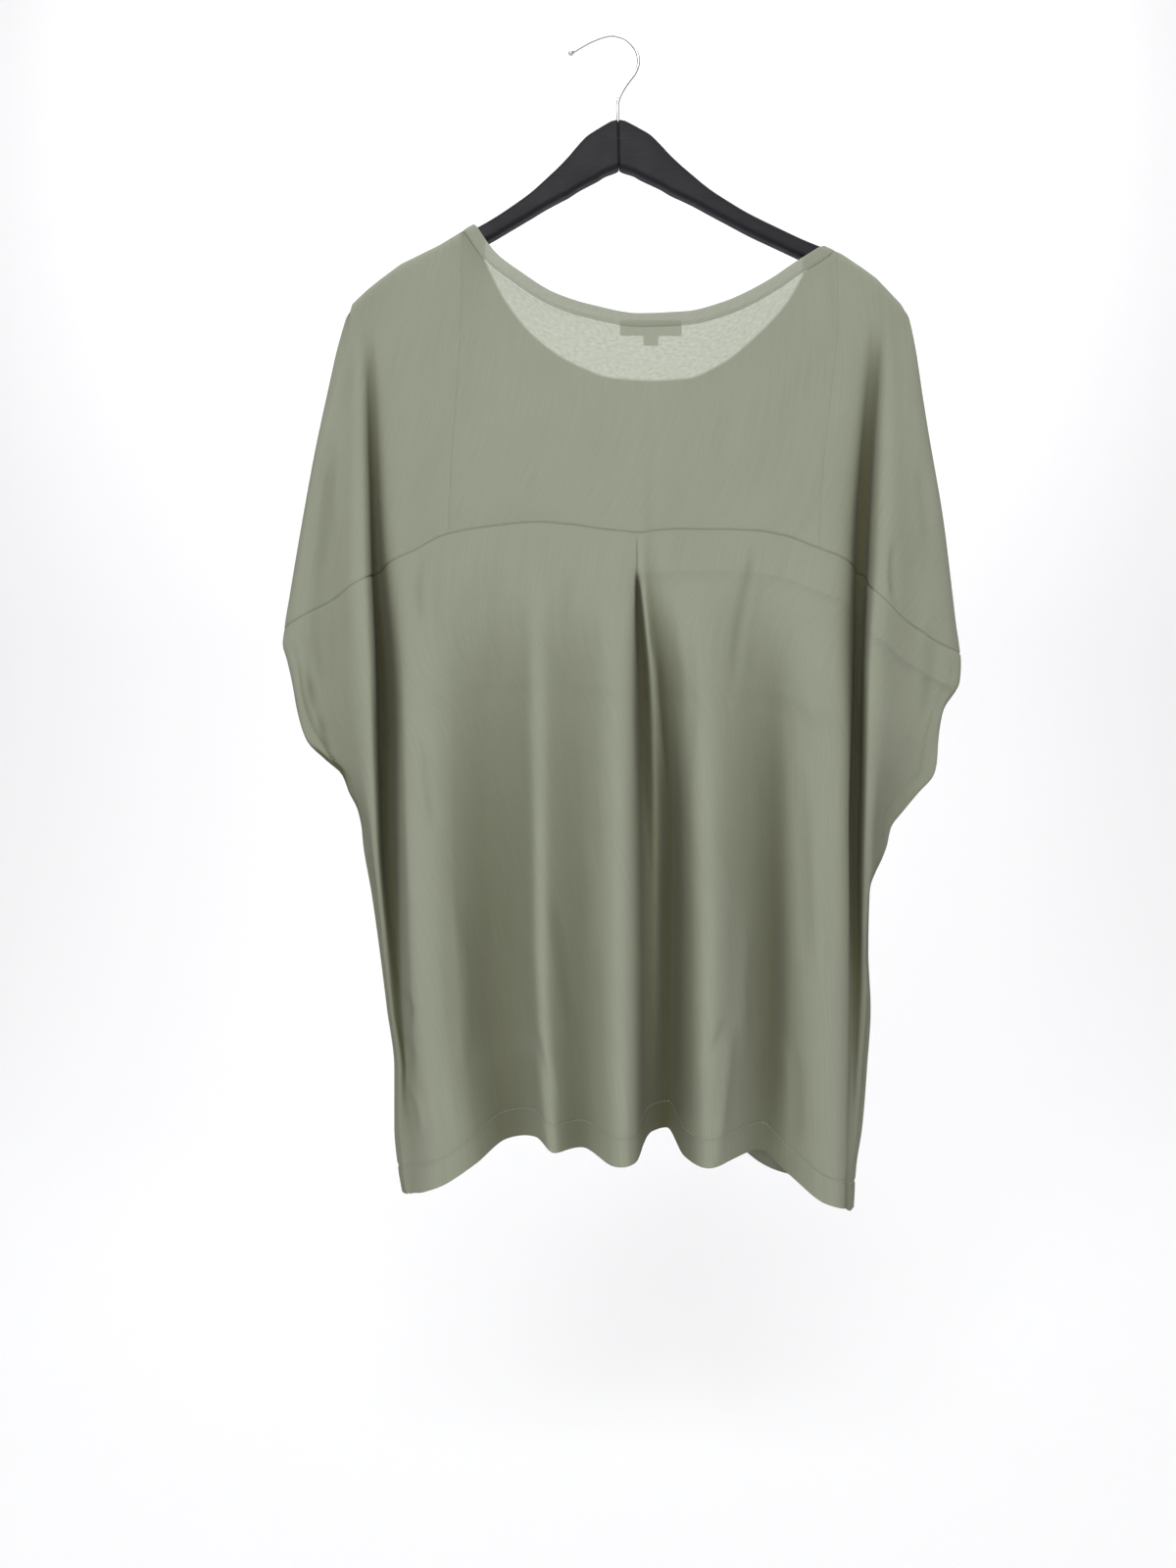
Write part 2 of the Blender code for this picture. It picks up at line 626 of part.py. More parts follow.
def neck_binding(parts):
    """One closed band round the neck, over both arms, with a station at each column."""
    strips = []
    for wall, neck in parts:
        places = [cloth_top(wall, neck, at)[1] for at in columns(wall, neck)]
        at = np.array([place for place in places if place is not None])
        strip = []
        for line in (neck.edge(at), neck.outside(at, BINDING_WIDTH)):
            ys = [wall.depth_at(x, z) for x, z in line]
            ys[0] = ys[-1] = 0.0
            strip.append(np.stack([line[:, 0], ys, line[:, 1]], axis=1))
        strips.append(np.array(strip))
    ring = np.moveaxis(np.concatenate([strips[0], strips[1][:, -2:0:-1]], axis=1), 0, 1)
    round_neck = (np.roll(ring, -1, axis=0) - np.roll(ring, 1, axis=0)).mean(axis=1)
    normal = np.cross(ring[:, 1] - ring[:, 0], round_neck)
    normal /= np.linalg.norm(normal, axis=1, keepdims=True)
    lift = normal[:, None, :] * BINDING_WALL / 2
    return close_wall("neck_binding", ring + lift, ring - lift, "binding", ring=True)


def small_label(name, left, right, top, bottom, inside, wall):
    """A blank strip of tape that lies inside the back, made from the back's own points."""
    xs = np.linspace(left, right, LABEL_COLUMNS)
    zs = np.linspace(top, bottom, LABEL_ROWS)
    middle = np.array([[(x, wall.depth_at(x, z) + inside, z) for z in zs] for x in xs])
    shift = np.array([0.0, LABEL_WALL / 2, 0.0])
    return close_wall(name, middle - shift, middle + shift, "tape")


def arm_slice(half_height, half_thickness):
    """A rounded rectangle, as y and height, anticlockwise as seen from +X."""
    corner = min(ARM_CORNER, half_height * CORNER_SHARE, half_thickness * CORNER_SHARE)
    points = []
    for y_way, z_way, first in ((1, 1, 0), (-1, 1, 90), (-1, -1, 180), (1, -1, 270)):
        for turn in (0, 30, 60, 90):
            angle = math.radians(first + turn)
            y = y_way * (half_thickness - corner) + corner * math.cos(angle)
            z = z_way * (half_height - corner) + corner * math.sin(angle)
            points.append((y, z))
    return points


def hanger_arm(name, side, bore, frame):
    """One half of the hanger: rounded slices along the arm, from the joint to the tip."""
    points = []
    for distance, top, bottom, half_thickness in ARM:
        for y, z in arm_slice((top - bottom) / 2, half_thickness):
            points.append((side * distance, y, (top + bottom) / 2 + z))
    count = len(arm_slice(1, 1))
    faces = []
    for i in range(len(ARM) - 1):
        for k in range(count):
            a, b = i * count + k, i * count + (k + 1) % count
            faces.append((a, b, b + count, a + count))
    faces.append(tuple(range(count)))
    faces.append(tuple((len(ARM) - 1) * count + k for k in range(count)))
    thing = add_object(name, points, faces, "painted_wood")
    thing.parent = frame
    cut = thing.modifiers.new("hook bore", "BOOLEAN")
    cut.operation = "DIFFERENCE"
    cut.object = bore
    return thing


def hanger_frame():
    """The empty that carries both arms and tilts them as the hanger hangs."""
    frame = bpy.data.objects.new("hanger_frame", None)
    bpy.context.scene.collection.objects.link(frame)
    frame.location = (HANGER_APEX[0] * MM, 0, HANGER_APEX[1] * MM)
    frame.rotation_euler = (0, -math.radians(HANGER_TILT), 0)
    return frame


def tube(name, path, radii, sides, finish_name):
    """A round bar along a path in the plane Y = 0, with a radius at each point."""
    path = np.asarray(path, float)
    way = np.gradient(path, axis=0)
    way /= np.linalg.norm(way, axis=1, keepdims=True)
    points = []
    for (x, z), (dx, dz), radius in zip(path, way, radii):
        for k in range(sides):
            angle = 2 * math.pi * k / sides
            reach = radius * math.cos(angle)
            points.append((x - dz * reach, radius * math.sin(angle), z + dx * reach))
    faces = []
    for i in range(len(path) - 1):
        for k in range(sides):
            a, b = i * sides + k, i * sides + (k + 1) % sides
            faces.append((a, b, b + sides, a + sides))
    faces.append(tuple(range(sides)))
    faces.append(tuple((len(path) - 1) * sides + k for k in range(sides)))
    return add_object(name, points, faces, finish_name)


def hook():
    """The wire hook: its stem stands in the joint, its free end has a small ball."""
    given = np.array(HOOK_POINTS, float)
    padded = [2 * given[0] - given[1], *given, 2 * given[-1] - given[-2]]
    path = []
    for i in range(len(given) - 1):
        for k in range(HOOK_STEPS):
            path.append(through_four(padded[i:i + 4], k / HOOK_STEPS))
    path.append(given[-1])
    way = (given[-1] - given[-2]) / np.linalg.norm(given[-1] - given[-2])
    radii = [WIRE] * len(path)
    for turn in BALL_TURNS:
        angle = math.radians(turn)
        path.append(given[-1] + way * BALL * (1 - math.cos(angle)))
        radii.append(BALL * math.sin(angle))
    return tube("hook", path, radii, WIRE_SIDES, "steel")


def hook_bore():
    """The cutter for the hole that the hook's stem stands in."""
    x, top = HANGER_APEX
    ends = [(x, top - STEM_DEPTH - GAP), (x, top + STEM_DEPTH)]
    cutter = tube("bore_cutter", ends, [BORE] * 2, BORE_SIDES, "steel")
    cutter.hide_render = True
    cutter.display_type = "WIRE"
    return cutter


def main():
    clear()
    back = Wall(-1, BACK_FOLDS)
    front_wall = Wall(1, FRONT_FOLDS)
    back_neck, front_neck = Neck(BACK_NECK), Neck(FRONT_NECK)
    back_yoke(back, back_neck)
    back_panel(back, back_neck)
    front(front_wall, front_neck)
    neck_binding(((back, back_neck), (front_wall, front_neck)))
    for name, left, right, top, bottom, inside in LABELS:
        small_label(name, left, right, top, bottom, inside, back)
    frame = hanger_frame()
    bore = hook_bore()
    hanger_arm("hanger_arm_left", -1, bore, frame)
    hanger_arm("hanger_arm_right", 1, bore, frame)
    hook()


main()
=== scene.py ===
"""The looks of a sheer jersey top on a two-piece wooden hanger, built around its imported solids.

The tables are in millimetres, as in the part's source, and the meshes are written in metres. X runs
to the right as the back of the top is seen, Y from its back to its front, and Z is up. The origin
is the inner top of the hook. Each cloth piece is a thin shell on its solid's own surface, with
finer creases, seams, hems and stitches on it.
"""

import math

import bmesh
import bpy
import numpy as np
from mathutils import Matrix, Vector, noise


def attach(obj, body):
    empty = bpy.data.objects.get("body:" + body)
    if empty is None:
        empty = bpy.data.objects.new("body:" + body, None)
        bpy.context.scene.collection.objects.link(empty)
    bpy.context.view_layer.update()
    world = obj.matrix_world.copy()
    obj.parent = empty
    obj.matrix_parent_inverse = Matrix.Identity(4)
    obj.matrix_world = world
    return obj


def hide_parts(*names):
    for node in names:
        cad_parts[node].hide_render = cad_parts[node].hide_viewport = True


MM = 0.001

# Cloth walls: the surface stands half a solid's wall outside its middle, and the shell is thinner
WALL = 1.2
SHELL = 0.8
HEM_SHELL = 2.0
HEM_BAND = 22.0
SLEEVE_BAND = 13.0
BAND_STEP = 1.2
GAP = 0.3
SEAM_GAP = 0.12
SEAM_DIP = 1.3
SEAM_REACH = 1.0
STITCH_DIP = 0.9
STITCH_REACH = 1.6
MOUTH_FADE = 8.0
BINDING_WALL = 2.2
BINDING_WIDTH = 11.0
NECK_TURN = 14.0

# Where the cloth turns over the hanger's arms
ROUND_OVER = 9.5
ARM_DEPTH = 9.6
FALL = 75.0
OVER_ARM = 1.0
SEAT = 1.8
NECK_SEAT = 2.2
NECK_SEAT_FROM = 160
NECK_SEAT_TO = 120

# How far the folds are softened, in folds, and how near the outline a side fold may come
SOFTNESS = 0.5
EDGE_FOLDS = 6
EDGE_STEP = 2.0

# Mesh density
COLUMNS_PER_FOLD = 10
ROW_STEP = 5.0
TOP_ROWS = (0.0, 0.5, 1.2, 2.2, 3.6, 5.4, 7.6, 10.5)
SEAM_ROWS = (0.0, 0.5, 1.1, 1.9, 3.0)
CORNER_STEPS = (0.0, 0.8, 3.0, 7.0)
COLUMN_ROOM = 0.06
# Rows beside the hem's stitches, by height from them, the count of rows below those, and the
# stitches' own row, counted back from the last
HEM_ROWS = (2.4, 1.2, 0.0, -1.2, -2.4)
HEM_TAIL = 4
HEM_STITCH_ROW = -7

# Steps and counts for looking places up on a wall or a neckline
DEPTH_SAMPLES = 121
DEPTH_FOLDS_IN = 5
MAP_HEIGHTS = (-310, -160, 2)
NECK_SAMPLES = 400
ARM_STEP = 10
TOP_TRIES = 7
HALVINGS = 30
TOUCHING = 0.01

# Heights at which the fold tables give a line's place
LEVELS = (-240, -430, -540, -660, -780, -925)

# The outline, where back and front are sewn together or, at the sleeve mouths, stand apart by
# twice the mouth column. Columns: height, left x, left mouth, right x, right mouth
OUTLINE = (
    (-229, -214, 0, 244, 0),
    (-270, -227, 0, 254, 0),
    (-335, -242, 0, 265, 0),
    (-400, -254, 0, 276, 0),
    (-465, -265, 0, 284, 0),
    (-490, -269, 0, 287, 0),
    (-503, -270, 3, 289, 0),
    (-516, -266, 6, 290, 3),
    (-535, -261, 9, 288, 7),
    (-560, -256, 11, 273, 11),
    (-584, -248, 12, 269, 12),
    (-600, -232, 12, 268, 12),
    (-611, -220, 10, 266, 11),
    (-627, -214, 7, 253, 9),
    (-640, -208, 4, 243, 6),
    (-656, -205, 0, 232, 3),
    (-668, -204, 0, 230, 0),
    (-709, -197, 0, 215, 0),
    (-758, -190, 0, 214, 0),
    (-806, -184, 0, 216, 0),
    (-855, -178, 0, 213, 0),
    (-904, -178, 0, 209, 0),
    (-937, -175, 0, 204, 0),
    (-970, -169, 0, 202, 0),
)
LEFT_MOUTH = (-503, -650)
RIGHT_MOUTH = (-516, -662)

# Heights of the yoke seam and of the hem at the left and right outlines
SEAM_ENDS = (-492, -512)
HEM_ENDS = (-957, -970)

# Fold lines of the back, left to right, between the two outlines.
# Columns: name, x at each level, depth away from the middle plane at each level,
# height of the yoke seam, height of the hem
BACK_FOLDS = (
    ("outer_roll", (-213, -248, -252, -201, -186, -174), (8, 12, 16, 9, 7, 5), -481, -957),
    ("sleeve_valley", (-211, -230, -234, -197, -184, -172), (10, 10, 11, 18, 13, 10), -471, -956),
    ("sleeve_ridge", (-207, -205, -199, -192, -181, -169), (12, 30, 44, 30, 18, 15), -457, -955),
    ("flap_edge", (-202, -194, -187, -186, -178, -166), (12, 24, 38, 27, 17, 16), -451, -954),
    ("left_pocket", (-198, -196, -192, -188, -175, -164), (12, 11, 11, 10, 13, 17), -449, -954),
    ("left_groove", (-195, -189, -184, -179, -171, -161), (12, 10, 6, 7, 13, 18), -446, -953),
    ("left_body", (-190, -181, -171, -165, -162, -156), (13, 24, 34, 39, 33, 24), -440, -951),
    ("left_panel", (-158, -162, -159, -157, -154, -139), (15, 29, 42, 46, 46, 38), -432, -943),
    ("left_turn", (-122, -133, -131, -129, -125, -109), (18, 30, 40, 42, 40, 36), -418, -926),
    ("left_valley", (-100, -104, -102, -101, -100, -84), (20, 28, 22, 15, 10, 5), -412, -911),
    ("second_edge", (-78, -73, -72, -69, -66, -57), (21, 30, 30, 28, 26, 22), -409, -906),
    ("second_ridge", (-56, -59, -58, -57, -55, -45), (23, 31, 42, 46, 46, 44), -408, -915),
    ("second_valley", (-32, -33, -31, -28, -26, -23), (25, 30, 28, 24, 21, 16), -410, -914),
    ("third_ridge", (-8, -5, -4, -2, -1, 5), (26, 32, 48, 53, 54, 54), -414, -923),
    ("pleat_left", (10, 14, 16, 17, 18, 20), (26, 33, 46, 50, 50, 46), -416, -921),
    ("pleat_under", (19, 20, 25, 26, 27, 26), (26, 32, 34, 35, 33, 27), -417, -911),
    ("pleat_roll", (28, 26, 33, 35, 36, 33), (26, 33, 39, 37, 29, 16), -417, -903),
    ("pleat_floor", (37, 32, 42, 51, 50, 47), (26, 31, 24, 12, 8, 5), -416, -902),
    ("pleat_right", (46, 39, 53, 60, 61, 60), (26, 33, 36, 40, 38, 28), -415, -920),
    ("right_ridge", (66, 58, 69, 75, 77, 77), (25, 32, 50, 55, 56, 54), -414, -924),
    ("right_slope", (94, 89, 95, 98, 100, 99), (23, 31, 40, 40, 38, 32), -414, -921),
    ("right_valley", (126, 117, 123, 129, 132, 124), (20, 30, 26, 18, 12, 6), -415, -919),
    ("right_flap", (158, 141, 141, 142, 143, 142), (18, 30, 38, 38, 36, 23), -419, -935),
    ("right_panel", (187, 168, 168, 169, 171, 175), (17, 30, 44, 47, 46, 36), -429, -957),
    ("right_body", (210, 197, 195, 191, 191, 190), (14, 25, 34, 40, 36, 27), -439, -963),
    ("right_groove", (216, 202, 200, 196, 196, 193), (12, 10, 6, 7, 13, 20), -446, -965),
    ("right_pocket", (221, 211, 208, 205, 203, 197), (12, 11, 11, 10, 13, 18), -450, -966),
    ("right_edge", (225, 210, 203, 203, 205, 198), (12, 28, 39, 30, 16, 17), -460, -967),
    ("right_roll", (230, 221, 212, 210, 209, 200), (12, 36, 44, 32, 17, 14), -470, -969),
    ("right_dip", (235, 243, 243, 218, 212, 202), (10, 22, 22, 19, 12, 10), -489, -970),
    ("outer_right", (240, 269, 273, 226, 214, 204), (8, 14, 17, 9, 6, 5), -505, -970),
)

# Fold lines of the front. Columns: name, x at each level, depth at each level, height of the hem
FRONT_FOLDS = (
    ("outer_roll", (-213, -249, -253, -201, -186, -174), (8, 12, 15, 9, 7, 5), -957),
    ("sleeve_valley", (-211, -234, -238, -196, -184, -172), (10, 12, 14, 18, 13, 10), -956),
    ("sleeve_ridge", (-206, -212, -208, -189, -180, -169), (12, 28, 38, 30, 19, 15), -954),
    ("left_groove", (-198, -194, -188, -179, -172, -162), (12, 15, 15, 16, 14, 15), -953),
    ("left_body", (-190, -176, -168, -162, -157, -150), (13, 26, 36, 40, 36, 27), -951),
    ("left_panel", (-158, -149, -144, -140, -137, -128), (15, 30, 42, 46, 44, 36), -940),
    ("left_valley", (-122, -117, -112, -108, -105, -98), (18, 30, 30, 22, 16, 10), -915),
    ("left_ridge", (-92, -81, -76, -72, -69, -64), (20, 31, 44, 50, 52, 48), -915),
    ("left_slope", (-62, -53, -48, -45, -42, -38), (23, 30, 36, 36, 34, 30), -910),
    ("middle_valley", (-32, -26, -22, -20, -18, -16), (25, 30, 26, 18, 13, 9), -908),
    ("middle_ridge", (2, 4, 8, 12, 15, 20), (26, 32, 46, 53, 56, 56), -910),
    ("middle_slope", (38, 38, 40, 42, 44, 46), (26, 31, 36, 36, 34, 30), -905),
    ("right_valley", (72, 69, 68, 68, 68, 68), (25, 30, 26, 18, 12, 8), -914),
    ("right_ridge", (106, 101, 102, 104, 105, 106), (23, 31, 44, 50, 50, 46), -926),
    ("right_slope", (142, 129, 128, 128, 128, 130), (20, 30, 32, 28, 24, 20), -940),
    ("right_dip", (187, 156, 153, 151, 151, 152), (17, 30, 28, 20, 14, 10), -947),
    ("right_panel", (200, 178, 173, 171, 171, 173), (15, 30, 40, 42, 40, 30), -957),
    ("right_body", (212, 198, 191, 186, 186, 186), (13, 26, 36, 38, 34, 26), -962),
    ("right_groove", (220, 215, 210, 203, 199, 194), (12, 15, 15, 15, 13, 16), -966),
    ("sleeve_ridge", (230, 231, 228, 213, 207, 199), (12, 30, 40, 30, 18, 15), -968),
    ("sleeve_valley", (235, 250, 253, 221, 212, 202), (10, 16, 18, 18, 12, 10), -970),
    ("outer_roll", (240, 270, 275, 226, 214, 204), (8, 12, 16, 9, 6, 5), -970),
)

# The neckline's upper edge. Columns: x, height
BACK_NECK = (
    (-92, -186), (-72, -203), (-44, -221), (-15, -231), (24, -238),
    (62, -236), (91, -228), (111, -219), (131, -207), (151, -192),
)
FRONT_NECK = (
    (-104, -183), (-87, -217), (-57, -253), (-27, -273), (3, -284),
    (35, -286), (64, -284), (93, -271), (123, -246), (148, -218), (162, -194),
)
NECK_POINTS = (-112, 177)

# Small creases of the back. Columns: points of the crease as x and height, half width,
# height above the cloth, below it if negative
BACK_CREASES = (
    (((-148, -432), (-154, -463), (-145, -502)), 4.0, -1.6),
    (((-141, -436), (-147, -470), (-137, -530)), 5.0, 1.2),
    (((-150, -572), (-145, -620), (-140, -668)), 4.5, -1.4),
    (((118, -420), (108, -465), (93, -562)), 3.5, -1.8),
    (((123, -420), (114, -470), (100, -570)), 4.5, 1.0),
    (((95, -800), (84, -822), (73, -850)), 3.0, -1.4),
    (((97, -806), (90, -860), (84, -925)), 4.0, 1.5),
    (((-47, -700), (-38, -760), (-27, -850)), 5.0, -1.4),
    (((-62, -812), (-52, -850), (-44, -890)), 3.5, -1.3),
    (((-20, -640), (-14, -700), (-12, -780)), 6.0, 1.0),
    (((-168, -784), (-160, -800), (-163, -818)), 3.0, -1.5),
    (((-170, -822), (-160, -838), (-164, -860)), 3.0, -1.3),
    (((-166, -858), (-152, -880), (-150, -905)), 3.5, 1.2),
    (((-128, -700), (-120, -780), (-118, -860)), 5.0, 1.2),
    (((150, -600), (156, -690), (158, -790)), 5.0, -1.2),
    (((162, -640), (166, -720), (170, -800)), 4.0, 1.0),
    (((145, -820), (152, -870), (150, -930)), 4.0, -1.4),
    (((112, -700), (106, -780), (104, -850)), 5.5, 1.2),
    (((60, -470), (66, -540), (64, -620)), 4.5, -1.0),
    (((34, -500), (38, -560), (46, -640)), 3.0, 1.4),
    (((-90, -430), (-94, -500), (-96, -560)), 6.0, -1.2),
    (((-30, -425), (-34, -470), (-30, -520)), 4.0, -1.0),
    (((-228, -330), (-232, -400), (-238, -470)), 5.0, -1.6),
    (((-218, -300), (-222, -360), (-224, -430)), 5.0, 1.2),
    (((-245, -500), (-240, -540), (-236, -590)), 4.0, 1.5),
    (((-250, -520), (-238, -560), (-228, -600)), 3.0, -1.4),
    (((228, -418), (226, -450), (229, -480)), 3.0, -2.0),
    (((252, -350), (258, -400), (262, -440)), 5.0, -1.4),
    (((262, -470), (254, -510), (248, -560)), 4.0, 1.6),
    (((270, -500), (262, -530), (250, -590)), 3.5, -1.6),
    (((-180, -262), (-150, -280), (-120, -318)), 7.0, -0.8),
    (((196, -258), (168, -282), (140, -322)), 7.0, -0.8),
    (((-70, -300), (-60, -350), (-58, -400)), 9.0, -0.7),
    (((80, -310), (92, -350), (96, -400)), 9.0, -0.7),
    (((20, -300), (24, -350), (22, -400)), 8.0, 0.6),
    (((-120, -330), (-116, -370), (-118, -410)), 7.0, 0.8),
    (((150, -330), (146, -370), (140, -412)), 7.0, 0.8),
)

# Small creases of the front, in the same columns
FRONT_CREASES = (
    (((-140, -330), (-134, -400), (-130, -470)), 6.0, -1.2),
    (((-96, -360), (-92, -440), (-90, -520)), 6.0, 1.0),
    (((-128, -560), (-120, -640), (-116, -700)), 4.5, -1.4),
    (((-66, -540), (-60, -620), (-58, -720)), 5.0, 1.2),
    (((-84, -760), (-76, -820), (-70, -900)), 4.0, -1.4),
    (((-10, -420), (-2, -500), (0, -600)), 5.0, 1.0),
    (((26, -480), (32, -560), (38, -660)), 4.0, -1.4),
    (((20, -720), (28, -800), (34, -880)), 4.5, 1.3),
    (((60, -330), (64, -400), (62, -470)), 6.0, -1.0),
    (((92, -560), (98, -640), (98, -740)), 4.5, -1.4),
    (((112, -740), (118, -800), (114, -880)), 4.0, 1.3),
    (((134, -400), (138, -470), (134, -540)), 5.0, 1.1),
    (((158, -560), (162, -640), (164, -730)), 4.5, -1.3),
    (((176, -760), (172, -830), (178, -900)), 4.0, 1.2),
    (((-222, -330), (-226, -390), (-232, -460)), 5.0, -1.5),
    (((-240, -500), (-234, -545), (-230, -590)), 3.5, 1.5),
    (((-178, -700), (-172, -760), (-170, -820)), 4.0, -1.3),
    (((244, -350), (252, -410), (256, -460)), 5.0, -1.5),
    (((258, -500), (252, -540), (246, -590)), 3.5, 1.5),
    (((204, -700), (202, -760), (200, -830)), 4.0, -1.2),
    (((-180, -262), (-146, -286), (-118, -330)), 7.0, -0.8),
    (((200, -258), (172, -284), (150, -330)), 7.0, -0.8),
)
# Steps along a crease from one of its points to the next, and how fast it grows from its ends
CREASE_STEPS = 8
CREASE_FADE = 3.2
# The creases fade out within these distances of the outlines and of the shoulders
CREASE_EDGE = 12.0
CREASE_TOP = 30.0

# The inverted pleat's slit. Columns: height, x of its middle, half width, depth below the cloth
# beside it
PLEAT = (
    (-449, 21, 1.2, 0.0),
    (-458, 22, 2.0, 6.0),
    (-480, 23, 3.0, 10.0),
    (-520, 25, 4.6, 12.0),
    (-575, 27, 6.0, 12.0),
    (-660, 29, 6.0, 8.0),
    (-780, 30, 6.0, 4.0),
    (-925, 28, 6.0, 1.0),
)
# Where the pleat is sewn shut: heights, x, half width, depth, and the length of its fading ends
PLEAT_SEWING = ((-421, -449), 21.5, 0.9, 0.7)
PLEAT_FADE = 2.0
SWAY = 0.7
SWAY_SCALE = (0.022, 0.011)

# Label and size tag, sewn in behind the back neck. Columns: name, left, right, top, bottom, depth
# of their middle inside the cloth's middle
LABELS = (
    ("label", 8, 58, -244, -257, 1.9),
    ("size_tag", 27, 39, -254, -265, 2.8),
)
LABEL_WALL = 0.6
LABEL_BOW = 0.25
SELVEDGE = 0.4
LABEL_COLUMNS = 40
LABEL_ROWS = 12

# The camera stands level with the middle of the picture
CAMERA = (-17.9, -1100.0, -619.5)
SENSOR = 36.0
LENS = 30.44
# How much nearer the camera's line through the front's neckline is where it leaves the back
SIGHT = 0.978
# The value that stands for a place far outside the crescent and the labels
OUTSIDE = -50.0

# The hanger, in its own frame from the top of its hump: distance from the joint, top, bottom,
# half thickness
HANGER_APEX = (7, -70)
HANGER_TILT = 1.3
JOINT_GAP = 0.15
ARM = (
    (JOINT_GAP, 0, -40, 7),
    (5, -1, -42, 7),
    (11, -4, -44, 7),
    (18, -8, -48, 7),
    (26, -13, -52, 7),
    (34, -21, -56, 7),
    (42, -30, -61, 7),
    (50, -38, -65, 7),
    (60, -47, -70, 7),
    (74, -59, -78, 7),
    (90, -70, -87, 7),
    (106, -80, -96, 7),
    (128, -91.5, -107, 7),
    (150, -102.5, -118, 7),
    (182, -117, -134, 7),
    (199, -129, -147, 7),
    (210, -137.5, -155, 6.5),
    (216, -144, -158, 5),
    (219, -149, -156, 2.5),
)
ARM_CORNER = 4.0
CORNER_SHARE = 0.95
ARM_FINENESS = 5
CORNER_TURNS = 7
JOINT_SHARE = 0.9
JOINT_CHAMFER = 0.5

# The line over the arms where back and front meet. It leaves the arms at the tips, and between
# the neck points it stands far above the cloth, which hangs free there. Tips: x, height
SHOULDER_FROM = 100
SHOULDER_TO = 212
SHOULDER_PEAK = 60
LEFT_TIP = ((-214, -229), (-212, -222))
RIGHT_TIP = ((240, -222), (244, -229))

# The wire hook
WIRE = 1.4
HOOK_POINTS = (
    (7, -84), (7, -70), (7, -54), (10, -46), (15, -38), (21, -30), (24, -21), (22, -11),
    (14, -2), (6, 1), (0, WIRE), (-9, -1), (-18, -5), (-25, -9), (-30, -12),
)
HOOK_STEPS = 8
WIRE_SIDES = 20
BALL = 2.3
BALL_STEP = 12

# The neck's binding: points across it and along each neckline, extra ones near the shoulders, the
# share of its thickness left at its edges, and how it is pressed in along its stitches
BINDING_ROWS = 12
NECK_STATIONS = 150
NECK_END_STEPS = (0.6, 1.5, 3)
BINDING_EDGE = 0.04
BINDING_STITCH = 2.0
BINDING_PRESS = (0.35, 1.2)

# Stitches: length, spacing, half thickness
STITCH = (2.6, 3.3, 0.34)
FINE_STITCH = (2.0, 2.6, 0.30)
STITCH_SIDES = 5
# A stitch's rings: place along it in lengths, share of its thickness
STITCH_RINGS = ((-0.5, 0.35), (-0.2, 1.0), (0.2, 1.0), (0.5, 0.35))
# In half thicknesses: how far a stitch rises, how far its ends sink, and how flat it is
STITCH_LIFT = 0.6
STITCH_SUNK = 0.2
STITCH_FLATNESS = 0.7

# Painted shade in the folds: the colour darkens from open cloth towards the hollows, between these
# shares of openness
PAINTED_SHADE_RANGE = (0.35, 0.98)
# The colour that the painted shade multiplies in, and the one openness that every inner face gets, so
# the inside is painted as shaded
HOLLOW_SHADE_COLOUR = (0.28, 0.26, 0.17, 1)
INSIDE_OPENNESS = 0.75
# Knit colours: light, dark, and pale for painted light where one layer lets the backdrop's light
# through
JERSEY = ((0.385, 0.406, 0.315, 1), (0.262, 0.279, 0.202, 1), (0.62, 0.645, 0.55, 1))
BINDING = ((0.355, 0.372, 0.300, 1), (0.25, 0.265, 0.20, 1), (0.40, 0.42, 0.34, 1))
BINDING_WALE = 1.2
THREAD = ((0.36, 0.38, 0.30, 1), (0.22, 0.235, 0.175, 1))
TAPE = ((0.28, 0.30, 0.23, 1), (0.40, 0.42, 0.34, 1))
PAINT = ((0.011, 0.011, 0.014, 1), (0.023, 0.022, 0.027, 1))
STEEL = ((0.50, 0.50, 0.50, 1), (0.72, 0.72, 0.71, 1))
PAPER = (0.93, 0.93, 0.94, 1)

# Lamps, in metres and watts. Columns: name, place, aim, size, power
LAMPS = (
    ("key", (-0.3, -2.6, 0.95), (0.0, 0.0, -0.45), 1.6, 50),
    ("backdrop_light", (0.0, 0.9, 1.7), (0.0, 2.6, -0.4), 2.4, 45),
)
WORLD_STRENGTH = 0.45


def smooth_through(knots, values, at):
    """A smooth curve through the values that never swings past them (monotone cubic)."""
    knots, values = np.asarray(knots, float), np.asarray(values, float)
    if knots[0] > knots[-1]:
        knots, values = knots[::-1], values[::-1]
    at = np.clip(np.asarray(at, float), knots[0], knots[-1])
    step = np.diff(knots)
    slope = np.diff(values) / step
    tangent = np.zeros_like(values)
    tangent[0], tangent[-1] = slope[0], slope[-1]
    same_way = slope[:-1] * slope[1:] > 0
    weight_a = 2 * step[1:] + step[:-1]
    weight_b = step[1:] + 2 * step[:-1]
    with np.errstate(divide="ignore", invalid="ignore"):
        mean = (weight_a + weight_b) / (weight_a / slope[:-1] + weight_b / slope[1:])
    tangent[1:-1] = np.where(same_way, mean, 0.0)
    i = np.clip(np.searchsorted(knots, at, side="right") - 1, 0, len(step) - 1)
    t = (at - knots[i]) / step[i]
    start = (1 + 2 * t) * (1 - t) ** 2 * values[i] + t * (1 - t) ** 2 * step[i] * tangent[i]
    end = t * t * (3 - 2 * t) * values[i + 1] + t * t * (t - 1) * step[i] * tangent[i + 1]
    return start + end


def ease(value):
    """0 to 1 with level ends."""
    value = np.clip(value, 0.0, 1.0)
    return value * value * (3 - 2 * value)


def unit(vectors):
    """The same directions, one long."""
    return vectors / np.maximum(np.linalg.norm(vectors, axis=-1, keepdims=True), 1e-9)


